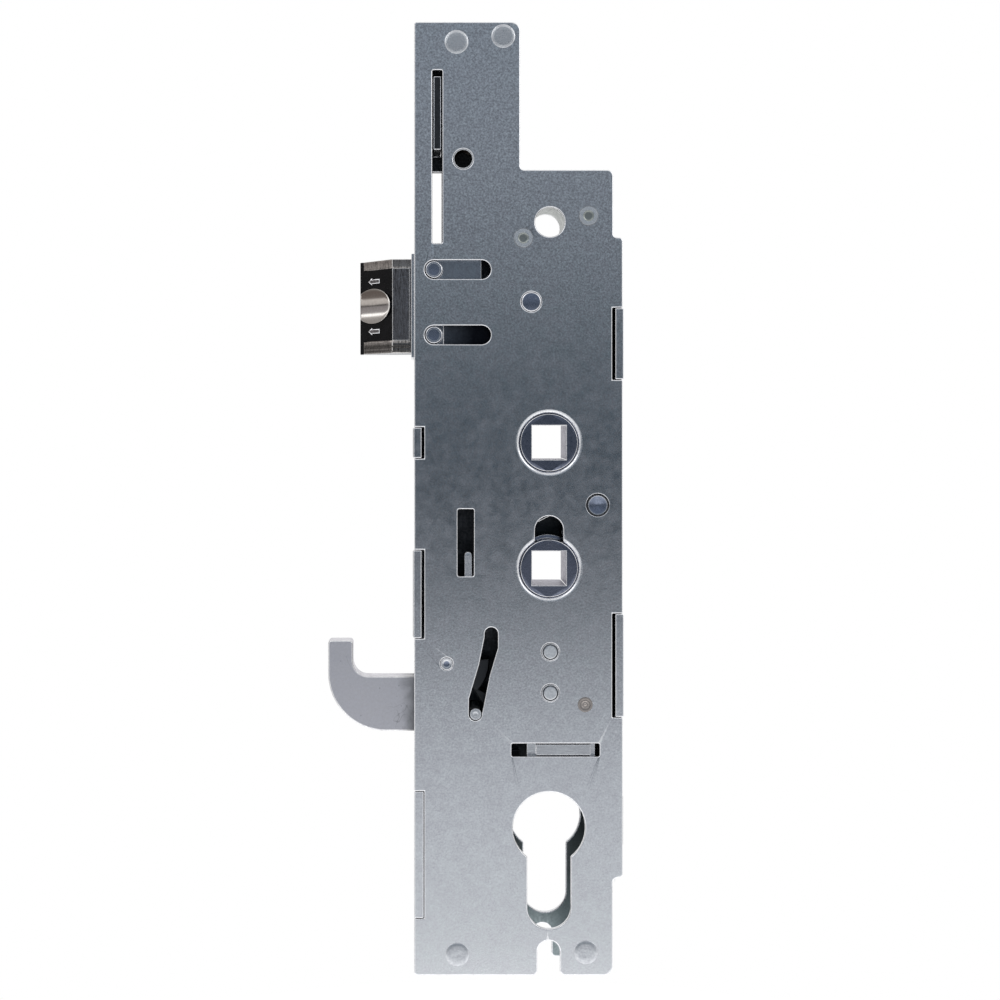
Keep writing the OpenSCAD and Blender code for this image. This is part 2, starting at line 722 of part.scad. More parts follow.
module upper_follower() color(bright_steel) follower(upper_spindle);
module lower_follower() color(bright_steel) follower(lower_spindle);

// the drive pin's path seen from the turning hook, as points about its pivot
path_steps = 24;
function pin_in_hook(t) =
    turned(drive_from + t * (drive_to - drive_from) - hook_at, -hook_swing * t);
hook_path = [for (i = [0:path_steps]) pin_in_hook(i / path_steps)];
// the path runs in and out again, so a straight slot with some play holds it
slot_far = hook_path[0];
slot_near = pin_in_hook(0.5);
slot_line = (slot_far - slot_near) / norm(slot_far - slot_near);
slot_play = max([for (p = hook_path)
    abs((p - slot_near)[0] * slot_line[1] - (p - slot_near)[1] * slot_line[0])]);

hook_tip_x = -front_edge - hook_reach;
hook_arm_z = [22.3, 35.45];
hook_nose_z = 44.15;

module hook_outline() {
    outer_r = 14;
    fillet_r = 3.7;
    inner_x = hook_tip_x + hook_nose_w;
    corner_r = 0.8;
    polygon(concat(
        arc_points([hook_tip_x + outer_r, hook_arm_z[0] + outer_r], outer_r, 180, 270, 16),
        [[hook_at[0] + 3, hook_arm_z[0]], [hook_at[0] + 6, hook_arm_z[1]],
            [hook_at[0], hook_arm_z[1]]],
        arc_points([inner_x + fillet_r, hook_arm_z[1] + fillet_r], fillet_r, 270, 180, 8),
        arc_points([inner_x - corner_r, hook_nose_z - corner_r], corner_r, 0, 90, 6),
        arc_points([hook_tip_x + corner_r, hook_nose_z - corner_r], corner_r, 90, 180, 6)));
}

module hook() color(bright_steel) {
    hub_r = 6.2;
    tail_r = 10.5;
    wall = 2.7;
    slab(-hook_t / 2, hook_t / 2) difference() {
        union() {
            hook_outline();
            translate(hook_at) circle(hub_r);
            translate(hook_at) polygon(concat([[0, 0]], arc_points([0, 0], tail_r, -85, 3, 16)));
            translate(hook_at) bent_band([[-3, -9], slot_far], drive_pin_r + slot_play + wall);
        }
        translate(hook_at) circle(d = hook_pivot_d + 2 * fit_gap);
        translate(hook_at) bent_band([slot_near - 0.15 * slot_line, slot_far + 0.1 * slot_line],
            drive_pin_r + slot_play + 0.05);
    }
}

module hook_pivot() color(bright_steel) {
    rod(hook_at, hook_end_d, -half_depth - 0.05, half_depth + 0.1);
    rod(hook_at, hook_pivot_d, cover_back, rear_front);
}

module hook_drive_pin() color(bright_steel) {
    rod(drive_from, drive_pin_d, -half_depth + 0.1, slide_y1);
}

// the detent lever leans on the lower follower's flange
detent_nose_r = 1.6;
detent_shank_d = 4;
detent_nose_x = 5;
detent_nose = [detent_nose_x, lower_spindle_z
    + sqrt(pow(flange_d / 2 + seat_gap + detent_nose_r, 2) - pow(detent_nose_x, 2))];

module detent_lever() color(dark_steel) {
    difference() {
        slab(-middle_y, middle_y) {
            stroke(detent_at, detent_nose, detent_nose_r);
            translate(detent_at) circle(3.4);
        }
        rod(detent_at, detent_shank_d + 2 * fit_gap, -middle_y - 1, middle_y + 1);
    }
}

module detent_pivot() color(bright_steel) {
    rod(detent_at, detent_head_d, -half_depth - 0.15, cover_back);
    rod(detent_at, detent_shank_d, cover_back, middle_y + 0.2);
}

// wire spring: two curls round the detent's pivot and a long leg to its anchor in the window
detent_spring_wire = 0.7;
detent_spring_r = detent_shank_d / 2 + detent_spring_wire / 2 + 0.3;
detent_spring_pitch = 1.15;
detent_spring_curls = 2;
echo(detent_spring_gap = detent_spring_pitch - detent_spring_wire);

module detent_spring() color(bright_steel) {
    reach = norm(detent_at - anchor_at);
    aim = atan2(anchor_at[1] + 4.2 - detent_at[1], anchor_at[0] - detent_at[0]);
    lift = asin(detent_spring_r / reach);
    wire_tube(coil_line(detent_at, cover_back + detent_spring_wire / 2 + 0.1,
        detent_spring_r, detent_spring_curls, detent_spring_pitch, aim - 90 + lift, 2,
        reach * cos(lift) - 3.5), detent_spring_wire / 2);
}

module spring_anchor() color(bright_steel) {
    half_w = 0.9;
    slab(cover_back, front_layer_y1) {
        stroke([anchor_at[0], window_z[0] - 4 + half_w], [anchor_at[0], window_z[0] + 4.8], half_w);
    }
}

module guide_block() color(dark_steel) {
    side = 5;
    end = 4;
    slab(cover_back, slide_y0 - part_gap) difference() {
        round_square([post_at[0][0] - side, post_at[0][0] + side],
            [post_at[1][1] - end, post_at[0][1] + end], 1);
        for (p = post_at) translate(p) circle(d = post_d + 2 * fit_gap);
    }
}

module guide_posts() color(bright_steel) {
    for (p = post_at) difference() {
        rod(p, post_d, -half_depth - 0.15, slide_y0 - part_gap);
        rod(p, 1.6, -half_depth - 1, -half_depth + 0.25);
    }
}

module stop_rivet() color([0.62, 0.56, 0.5]) {
    rod(stop_rivet_at, stop_shank_d, -half_depth, carriage_y0 + 2.6);
    rod(stop_rivet_at, stop_rivet_d, -half_depth - 0.1, -half_depth);
}

deadlock_bar_z = [15.6, 21.4];

module deadlock_slide() color(bright_steel) {
    nose_x = [-2.6, -1];
    span_box([-5.2, deadlock_block_x[1] + 1.2], [carriage_y0, front_layer_y1], deadlock_bar_z);
    span_box(deadlock_block_x, [-half_depth + 0.35, carriage_y0 + 0.1],
        [deadlock_slot_z[0] + 0.3, deadlock_slot_z[1] - 0.3]);
    span_box(nose_x, [front_layer_y1 - 0.1, slide_y1], [deadlock_slot_z[0], 20.2]);
    // prongs for the cylinder's cam
    for (x = [-4.4, 8.6]) span_box([x, x + 1.8], [carriage_y0, front_layer_y1], [12.4, 15.7]);
}

module deadlock_spring() color(bright_steel) {
    spring_y = [carriage_y0 + 0.2, carriage_y0 + 1.8];
    tip = [2, deadlock_bar_z[1] + 0.9];
    slab(spring_y[0], spring_y[1]) difference() {
        union() {
            bent_band([stop_rivet_at + [-1.8, -1.4], [4.6, deadlock_bar_z[1] + 2], tip], 0.45);
            translate(stop_rivet_at) circle(d = stop_rivet_d + 2);
        }
        translate(stop_rivet_at) circle(d = stop_shank_d + 2 * fit_gap);
    }
}

front_cover();
rear_case();
corner_rivets();
dimpled_rivets();
fixing_tube();
tapped_bush();
latch_collar();
latch_head();
latch_tip();
latch_button();
latch_carriage();
latch_guide_pins();
latch_lever();
latch_spring();
lever_pivot();
upper_slide();
lower_slide();
reversing_lever();
upper_follower();
lower_follower();
hook();
hook_pivot();
hook_drive_pin();
detent_lever();
detent_pivot();
detent_spring();
spring_anchor();
guide_block();
guide_posts();
stop_rivet();
deadlock_slide();
deadlock_spring();
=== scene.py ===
import math

import bpy
import numpy as np
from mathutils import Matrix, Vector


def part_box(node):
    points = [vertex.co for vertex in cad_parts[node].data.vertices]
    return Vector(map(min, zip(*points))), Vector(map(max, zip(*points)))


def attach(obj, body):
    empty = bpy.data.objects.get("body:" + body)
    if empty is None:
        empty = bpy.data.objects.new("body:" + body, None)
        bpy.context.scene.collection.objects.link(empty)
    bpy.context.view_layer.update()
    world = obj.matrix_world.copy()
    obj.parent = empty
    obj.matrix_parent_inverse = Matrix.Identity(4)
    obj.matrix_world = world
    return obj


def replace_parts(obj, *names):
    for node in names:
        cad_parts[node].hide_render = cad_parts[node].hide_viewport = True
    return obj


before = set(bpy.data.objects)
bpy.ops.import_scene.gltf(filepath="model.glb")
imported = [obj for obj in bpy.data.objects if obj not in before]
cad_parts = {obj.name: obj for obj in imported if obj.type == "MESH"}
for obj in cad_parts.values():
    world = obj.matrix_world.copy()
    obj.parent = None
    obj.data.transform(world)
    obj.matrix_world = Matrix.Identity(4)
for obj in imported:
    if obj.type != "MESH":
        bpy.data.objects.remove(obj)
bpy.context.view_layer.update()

bl_info = {
    "name": "Door lock case looks",
    "version": (1, 0, 0),
    "blender": (4, 5, 0),
    "location": "3D View > Sidebar > Lock case",
    "description": "Dresses a multipoint door lock's centre case and sets its studio stage",
    "category": "Object",
}

MM = 0.001


def in_metres(*places):
    return [(x * MM, z * MM) for x, z in places]


# depths of the case's front and rear faces, and the thickness of its plates
FRONT_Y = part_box("front_cover")[0].y
BACK_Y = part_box("rear_case")[1].y
WALL = 1.5 * MM
# places across the case, as x and z
CORNER_RIVETS = in_metres((-22.1, 187.6), (-10.95, 189.0), (-21.9, -30.1), (8.8, -29.6))
DIMPLED_RIVETS = in_metres((9.4, 146.1), (-6.15, 140.8))
HOOK_PIVOT = in_metres((-24.45, 39.2))
GUIDE_POSTS = in_metres((0.3, 42.05), (0.3, 32.25))
PLAIN_RIVET = in_metres((8.6, 29.5))
LEVER_AXIS = (-4.25 * MM, 125.6 * MM)
DETENT_AXIS = (11.6 * MM, 77.1 * MM)
ANCHOR = (-19.25 * MM, 60.2 * MM)
TAPPED_AXIS = (-20.5 * MM, 159.7 * MM)
# heights of the followers' axes, and how far their square holes' walls stand from them
FOLLOWER_Z = {"upper_follower": 92.0 * MM, "lower_follower": 62.0 * MM}
BORE_REACH = 4.3 * MM
# edges sharper than this are rounded
RIM_ANGLE = math.radians(32.0)
# how far the oily stain on the hook reaches out of the case
HOOK_STAIN = 2.2 * MM
# the latch head's slope and its edge, and the height of its upper and lower cheek
LATCH_SLOPE_LENGTH = 7.95 * MM
LATCH_BAND = 0.9 * MM
LATCH_TIP_WALL = 2.4 * MM
HIGH_CHEEK = 2.15 * MM
LOW_CHEEK = 3.0 * MM
ARROW_X = -42.0 * MM
WHITE = (1.0, 1.0, 1.0)


def color_setting(name, description, default):
    return bpy.props.FloatVectorProperty(name=name, description=description, default=default,
                                         subtype="COLOR", size=3, min=0.0, max=1.0)


def length_setting(name, description, default, low, high):
    return bpy.props.FloatProperty(name=name, description=description, default=default, min=low,
                                   max=high, subtype="DISTANCE", unit="LENGTH", precision=5)


class LOCK_PG_finish(bpy.types.PropertyGroup):
    """Colours and surface sizes of the lock's finishes."""

    zinc_bright: color_setting(
        "Zinc, bright grains", "Colour of the zinc plate's bright grains", (0.67, 0.69, 0.70))
    zinc_dull: color_setting(
        "Zinc, dull grains", "Colour of the zinc plate's dull grains", (0.62, 0.62, 0.65))
    # the punched rims' bright colour is partly bare steel and partly a painted highlight on their
    # rounding
    rim: color_setting(
        "Punched rims", "Colour of the bright metal on punched edges", (0.90, 0.90, 0.92))
    nickel: color_setting("Nickel", "Colour of the latch's nickel plate", (0.62, 0.58, 0.55))
    cast: color_setting("Cast steel", "Colour of the hook's tumbled steel", (0.69, 0.68, 0.72))
    plastic: color_setting(
        "Black plastic", "Colour of the latch's plastic", (0.004, 0.004, 0.005))
    brown: color_setting("Plain rivet", "Colour of the unplated rivet", (0.50, 0.45, 0.42))
    grain_size: length_setting(
        "Grain size", "Size of the zinc plate's fine grains", 0.00045, 0.0001, 0.003)
    blotch_size: length_setting(
        "Blotch size", "Size of the zinc plate's soft blotches", 0.0024, 0.0005, 0.02)
    plate_rim: length_setting(
        "Plate rim", "Width of the rounding on the plates' punched edges", 0.00029, 0.00005, 0.0006)


class LOCK_PG_detail(bpy.types.PropertyGroup):
    """Sizes of the latch's small features and of the turned pieces."""

    turn_steps: bpy.props.IntProperty(
        name="Steps round a turned piece", description="Faces round each rivet and pin",
        default=72, min=16, max=160)
    button_crown: length_setting(
        "Button crown", "How far the latch button's middle stands over its edges",
        0.0011, 0.0, 0.0012)
    arrow_line: length_setting(
        "Arrow line", "Width of the raised line round each arrow", 0.00027, 0.0001, 0.0005)
    thread_pitch: length_setting(
        "Thread pitch", "Pitch of the thread in the tapped hole", 0.0008, 0.0005, 0.0012)


class LOCK_PG_stage(bpy.types.PropertyGroup):
    """The camera, the floor and the light."""

    camera_place: bpy.props.FloatVectorProperty(
        name="Camera", description="Where the camera stands", subtype="TRANSLATION",
        unit="LENGTH", size=3, default=(-0.032, -0.4215, 0.0974))
    lens: bpy.props.FloatProperty(
        name="Lens", description="Focal length in millimetres", default=62.4, min=20.0, max=200.0)
    shift: bpy.props.FloatVectorProperty(
        name="Lens shift", description="Shift of the picture, in picture widths",
        size=2, default=(0.085, -0.080))
    floor_z: length_setting(
        "Floor height", "Height of the floor below the lock", -0.12, -0.5, -0.04)
    floor_radius: length_setting("Floor radius", "Radius of the round floor", 0.25, 0.1, 2.0)
    lamp_power: bpy.props.FloatProperty(
        name="Lamp power", description="Power of each soft lamp", default=0.9,
        min=0.0, max=20.0, subtype="POWER", unit="POWER")


def add_node(tree, kind, inputs=None, **settings):
    """A new node with its settings and its sockets' values or links."""
    node = tree.nodes.new(kind)
    for key, value in settings.items():
        setattr(node, key, value)
    for key, value in (inputs or {}).items():
        if isinstance(value, bpy.types.NodeSocket):
            tree.links.new(value, node.inputs[key])
        else:
            node.inputs[key].default_value = value
    return node


def bare_tree(data):
    """The emptied node tree of a new material or world."""
    data.use_nodes = True
    data.node_tree.nodes.clear()
    return data.node_tree


def coordinates(tree, kind="Object"):
    return tree.nodes.new("ShaderNodeTexCoord").outputs[kind]


def math_node(tree, operation, a, b=0.0):
    return add_node(tree, "ShaderNodeMath", {0: a, 1: b}, operation=operation).outputs[0]


def times(tree, a, b):
    return math_node(tree, "MULTIPLY", a, b)


def spread(tree, value, low, high, to_low=0.0, to_high=1.0, kind="LINEAR"):
    """Maps value from low..high to to_low..to_high."""
    return add_node(tree, "ShaderNodeMapRange", {"Value": value, "From Min": low, "From Max": high,
                    "To Min": to_low, "To Max": to_high}, interpolation_type=kind).outputs[0]


def mix_color(tree, factor, a, b):
    node = tree.nodes.new("ShaderNodeMix")
    node.data_type = "RGBA"
    for key, value in (("Factor", factor), (6, a), (7, b)):
        if isinstance(value, bpy.types.NodeSocket):
            tree.links.new(value, node.inputs[key])
        else:
            node.inputs[key].default_value = value if isinstance(value, float) else (*value, 1.0)
    return node.outputs[2]


def noise(tree, vector, scale, detail=2.0, roughness=0.5, distortion=0.0):
    """The value of a noise texture."""
    return add_node(tree, "ShaderNodeTexNoise", {
        "Vector": vector, "Scale": scale, "Detail": detail, "Roughness": roughness,
        "Distortion": distortion}).outputs["Fac"]


def color_ramp(tree, value, low, high, stops):
    """A colour ramp over value from low to high. Each stop is (value, colour or grey)."""
    ramp = add_node(tree, "ShaderNodeValToRGB", {"Fac": spread(tree, value, low, high)})
    elements = ramp.color_ramp.elements
    while len(elements) > 1:
        elements.remove(elements[-1])
    for i, (at, color) in enumerate(stops):
        share = (at - low) / (high - low)
        element = elements.new(share) if i else elements[0]
        element.position = share
        element.color = (*color, 1.0) if isinstance(color, tuple) else (color, color, color, 1.0)
    return ramp.outputs["Color"]


def shader_group(name, inputs, outputs, fill):
    """The node group of that name, made at its first use from its sockets and what fills it.

    Each input is (name, kind, value). All outputs are values.
    """
    if name in bpy.data.node_groups:
        return bpy.data.node_groups[name]
    group = bpy.data.node_groups.new(name, "ShaderNodeTree")
    for socket, kind, value in inputs:
        made = group.interface.new_socket(
            socket, in_out="INPUT", socket_type="NodeSocket" + kind)
        if value is not None:
            made.default_value = value
    for socket in outputs:
        group.interface.new_socket(socket, in_out="OUTPUT", socket_type="NodeSocketFloat")
    start, end = group.nodes.new("NodeGroupInput"), group.nodes.new("NodeGroupOutput")
    for socket, value in zip(outputs, fill(group, start.outputs)):
        group.links.new(value, end.inputs[socket])
    return group


def fill_grain(group, start):
    fine = noise(group, start["Vector"], math_node(group, "DIVIDE", 1.0, start["Grain Size"]),
                 3.0, 0.62)
    blotch = noise(group, start["Vector"], math_node(group, "DIVIDE", 1.0, start["Blotch Size"]),
                   3.0, 0.55, 0.4)
    both = math_node(group, "ADD", times(group, fine, 0.6), times(group, blotch, 0.4))
    return spread(group, both, 0.36, 0.64), both


def grain_group():
    """Mottled grain: fine noise and softer blotches, as a tone from 0 to 1 and a height."""
    return shader_group("zinc grain", [
        ("Vector", "Vector", None), ("Grain Size", "Float", 0.0005),
        ("Blotch Size", "Float", 0.002)], ("Tone", "Height"), fill_grain)


def fill_hairlines(group, start):
    squeezed = add_node(group, "ShaderNodeVectorMath", {
        0: start["Vector"], 1: start["Squeeze"]}, operation="MULTIPLY").outputs[0]
    lines = noise(group, squeezed, math_node(group, "DIVIDE", 1.0, start["Line Size"]), 2.0, 0.7)
    return spread(group, lines, 0.32, 0.68), lines


def hairline_group():
    """Brushed lines: noise drawn out along one direction, as a tone and a height."""
    return shader_group("hairlines", [
        ("Vector", "Vector", None), ("Squeeze", "Vector", (1.0, 1.0, 0.05)),
        ("Line Size", "Float", 0.0002)], ("Tone", "Height"), fill_hairlines)


def fill_marks(group, start):
    wander = noise(group, start["Vector"], 210.0, 1.0, distortion=0.8)
    off = math_node(group, "ABSOLUTE", math_node(group, "SUBTRACT", wander, 0.5))
    line = spread(group, off, 0.0, 0.006, 1.0, 0.0)
    patch = spread(group, noise(group, start["Vector"], 95.0), 0.58, 0.66)
    specks = add_node(group, "ShaderNodeTexVoronoi", {
        "Vector": start["Vector"], "Scale": 420.0, "Randomness": 1.0})
    speck = spread(group, specks.outputs["Distance"], 0.03, 0.09, 1.0, 0.0)
    marks = math_node(group, "MAXIMUM", times(group, line, patch), speck)
    return [times(group, marks, start["Amount"])]


def marks_group():
    """Handling marks: thin wandering lines where a noise crosses its middle, in a few patches."""
    return shader_group("handling marks", [
        ("Vector", "Vector", None), ("Amount", "Float", 0.5)], ["Mask"], fill_marks)


def made_once(make):
    """Finds the material whose name its maker is given, or else has it made."""
    def find(name, *args, **kwargs):
        return bpy.data.materials.get(name) or make(name, *args, **kwargs)
    return find


def new_material(name):
    """A material with a bare Principled shader, its tree, the shader and the piece's own space."""
    material = bpy.data.materials.new(name)
    tree = bare_tree(material)
    shader = tree.nodes.new("ShaderNodeBsdfPrincipled")
    add_node(tree, "ShaderNodeOutputMaterial", {"Surface": shader.outputs[0]})
    return material, tree, shader, coordinates(tree)


@made_once
def metal(name, bright, dull, roughness, grain=0.00055, blotch=0.0024, relief=0.25,
          relief_depth=0.00002, lines=None, line_size=0.0002, marks=0.25,
          mark_color=(0.9, 0.9, 0.92)):
    """Bare or plated metal: grain or brushed lines in its tone, roughness and relief."""
    material, tree, shader, place = new_material(name)
    grains = add_node(tree, "ShaderNodeGroup", {
        "Vector": place, "Grain Size": grain, "Blotch Size": blotch}, node_tree=grain_group())
    tone, height = grains.outputs["Tone"], grains.outputs["Height"]
    if lines:
        brushed = add_node(tree, "ShaderNodeGroup", {
            "Vector": place, "Squeeze": lines, "Line Size": line_size}, node_tree=hairline_group())
        tone, height = (
            math_node(tree, "ADD", times(tree, grains.outputs[key], 0.35),
                      times(tree, brushed.outputs[key], 0.65))
            for key in ("Tone", "Height"))
    worn = add_node(tree, "ShaderNodeGroup", {"Vector": place, "Amount": marks},
                    node_tree=marks_group())
    color = mix_color(tree, worn.outputs["Mask"], mix_color(tree, tone, dull, bright), mark_color)
    tree.links.new(color, shader.inputs["Base Color"])
    tree.links.new(spread(tree, tone, 0.0, 1.0, roughness[1], roughness[0]),
                   shader.inputs["Roughness"])
    bump = add_node(tree, "ShaderNodeBump", {
        "Strength": relief, "Distance": relief_depth, "Height": height})
    tree.links.new(bump.outputs[0], shader.inputs["Normal"])
    shader.inputs["Metallic"].default_value = 1.0
    return material


def painted(material, paint):
    """The metal with the base colour that paint(tree, color, place, x, z) makes of its own."""
    tree = material.node_tree
    shader = next(n for n in tree.nodes if n.type == "BSDF_PRINCIPLED")
    place = coordinates(tree)
    x, _, z = add_node(tree, "ShaderNodeSeparateXYZ", {"Vector": place}).outputs
    color = shader.inputs["Base Color"].links[0].from_socket
    tree.links.new(paint(tree, color, place, x, z), shader.inputs["Base Color"])
    return material


def multiplied(tree, color, tone):
    """A colour times another colour or a value."""
    both = add_node(tree, "ShaderNodeMix", {"Factor": 1.0, 6: color, 7: tone}, data_type="RGBA",
                    blend_type="MULTIPLY")
    return both.outputs[2]


def scaled(color, by):
    return tuple(by * c for c in color)


@made_once
def zinc_finish(name, bright, dull, grain, blotch):
    """Zinc plate whose speckle is strong in the upper part and fades towards the foot."""
    def paint(tree, color, place, x, z):
        amount = spread(tree, z, 15.0 * MM, 70.0 * MM, 0.15, 1.3)
        fine = math_node(tree, "SUBTRACT", noise(tree, place, 1.0 / grain, 1.0, 0.6), 0.5)
        return multiplied(tree, color, math_node(tree, "ADD", times(tree, fine, amount), 1.0))
    return painted(metal(name, bright, dull, (0.15, 0.25), grain, blotch, relief=1.0,
                         relief_depth=0.000012, marks=0.3), paint)


@made_once
def inside_finish(name, bright, dull):
    """Inner faces of the plates: painted shade, dark behind the works and lighter towards the foot.
    """
    def paint(tree, color, place, x, z):
        # painted shade: the inner faces darken upwards from the foot
        return multiplied(tree, color, color_ramp(tree, z, -30.0 * MM, 30.0 * MM, [
            (-22.0 * MM, 1.0), (-14.0 * MM, 0.45), (4.0 * MM, 0.3),
            (14.0 * MM, (0.19, 0.18, 0.19))]))
    return painted(metal(name, bright, dull, (0.30, 0.46), 0.0005, 0.002, relief=0.35, marks=0.12,
                         mark_color=(0.3, 0.31, 0.33)), paint)


@made_once
def carriage_finish(name, bright, dull):
    """Steel of the latch carriage, whose lower arm is painted darker, as painted shade, away from
    the latch.
    """
    lo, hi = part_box("latch_carriage")
    middle = 0.5 * (lo.z + hi.z)

    def paint(tree, color, place, x, z):
        # painted shade: the lower arm's colour falls to near black away from the latch
        painted_shade = color_ramp(tree, x, lo.x, hi.x, [
            (lo.x + 5.5 * MM, 0.8), (lo.x + 9.0 * MM, (0.35, 0.35, 0.36)),
            (lo.x + 15.0 * MM, (0.05, 0.05, 0.06)), (hi.x - 3.0 * MM, 0.03)])
        upper = spread(tree, z, middle - MM, middle + MM)
        return multiplied(tree, color, mix_color(tree, upper, painted_shade, WHITE))
    return painted(metal(name, bright, dull, (0.26, 0.40), 0.0006, 0.0016, relief=0.6, marks=0.4,
                         mark_color=(0.7, 0.72, 0.75)), paint)


@made_once
def latch_finish(name, color):
    """Nickel of the latch head: dark and brushed up and down between its cheeks, paler on them."""
    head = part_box("latch_head")
    low, high = head[0].z, head[1].z
    block_low, block_high = low + LOW_CHEEK, high - HIGH_CHEEK
    step, block, pale = 0.05 * MM, (0.42, 0.43, 0.47), 0.9

    def paint(tree, plain, place, x, z):
        return multiplied(tree, plain, color_ramp(tree, z, low, high, [
            (low, 0.7), (low + 0.5 * MM, 0.2), (low + 1.0 * MM, 0.5), (low + 1.3 * MM, 0.16),
            (low + 2.0 * MM, 0.3), (block_low - 0.5 * MM, 0.75), (block_low - step, pale),
            (block_low + step, block), (block_high - step, block), (block_high + step, pale),
            (high - 0.4 * MM, (0.62, 0.6, 0.6)), (high, pale)]))
    return painted(metal(name, scaled(color, 1.4), scaled(color, 0.1), (0.22, 0.38), 0.0005, 0.002,
                         relief=0.5, lines=(1.0, 1.0, 0.09), line_size=0.00022, marks=1.0), paint)


@made_once
def cast_finish(name, bright, dull, marks):
    """Tumbled steel of the hook: pale, with dark wandering marks, an oily stain at its root and
    painted shade inside the case.
    """
    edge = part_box("front_cover")[0].x

    def paint(tree, plain, place, x, z):
        cloud = spread(tree, noise(tree, place, 160.0, 4.0, 0.6, 0.6), 0.2, 0.8, -HOOK_STAIN,
                       HOOK_STAIN)
        wander = math_node(tree, "ADD", x, cloud)
        stain = spread(tree, wander, edge - 1.6 * HOOK_STAIN, edge + 0.2 * HOOK_STAIN, 0.0, 0.8)
        # painted shade: the hook is painted near black where it lies within the case
        inside = spread(tree, wander, edge + 0.5 * HOOK_STAIN, edge + 2.0 * HOOK_STAIN)
        return mix_color(tree, inside, mix_color(tree, stain, plain, (0.17, 0.175, 0.18)),
                         (0.05, 0.052, 0.056))
    return painted(metal(name, bright, dull, (0.30, 0.44), 0.0007, 0.0032, relief=0.5, marks=marks,
                         mark_color=(0.20, 0.20, 0.21)), paint)


@made_once
def plastic_finish(name, color):
    """Black moulded plastic with a faint moulding texture and pale dust specks."""
    material, tree, shader, place = new_material(name)
    grains = add_node(tree, "ShaderNodeGroup", {"Vector": place, "Grain Size": 0.0004},
                      node_tree=grain_group()).outputs
    dust = add_node(tree, "ShaderNodeTexVoronoi", {"Vector": place, "Scale": 1500.0})
    speck = spread(tree, dust.outputs["Distance"], 0.02, 0.10, 0.35, 0.0)
    base = mix_color(tree, grains["Tone"], scaled(color, 0.6), color)
    tree.links.new(mix_color(tree, speck, base, (0.30, 0.29, 0.28)), shader.inputs["Base Color"])
    tree.links.new(spread(tree, grains["Tone"], 0.0, 1.0, 0.24, 0.36), shader.inputs["Roughness"])
    bump = add_node(tree, "ShaderNodeBump", {
        "Strength": 0.12, "Distance": 0.00002, "Height": grains["Height"]})
    tree.links.new(bump.outputs[0], shader.inputs["Normal"])
    shader.inputs["Specular IOR Level"].default_value = 0.1
    return material


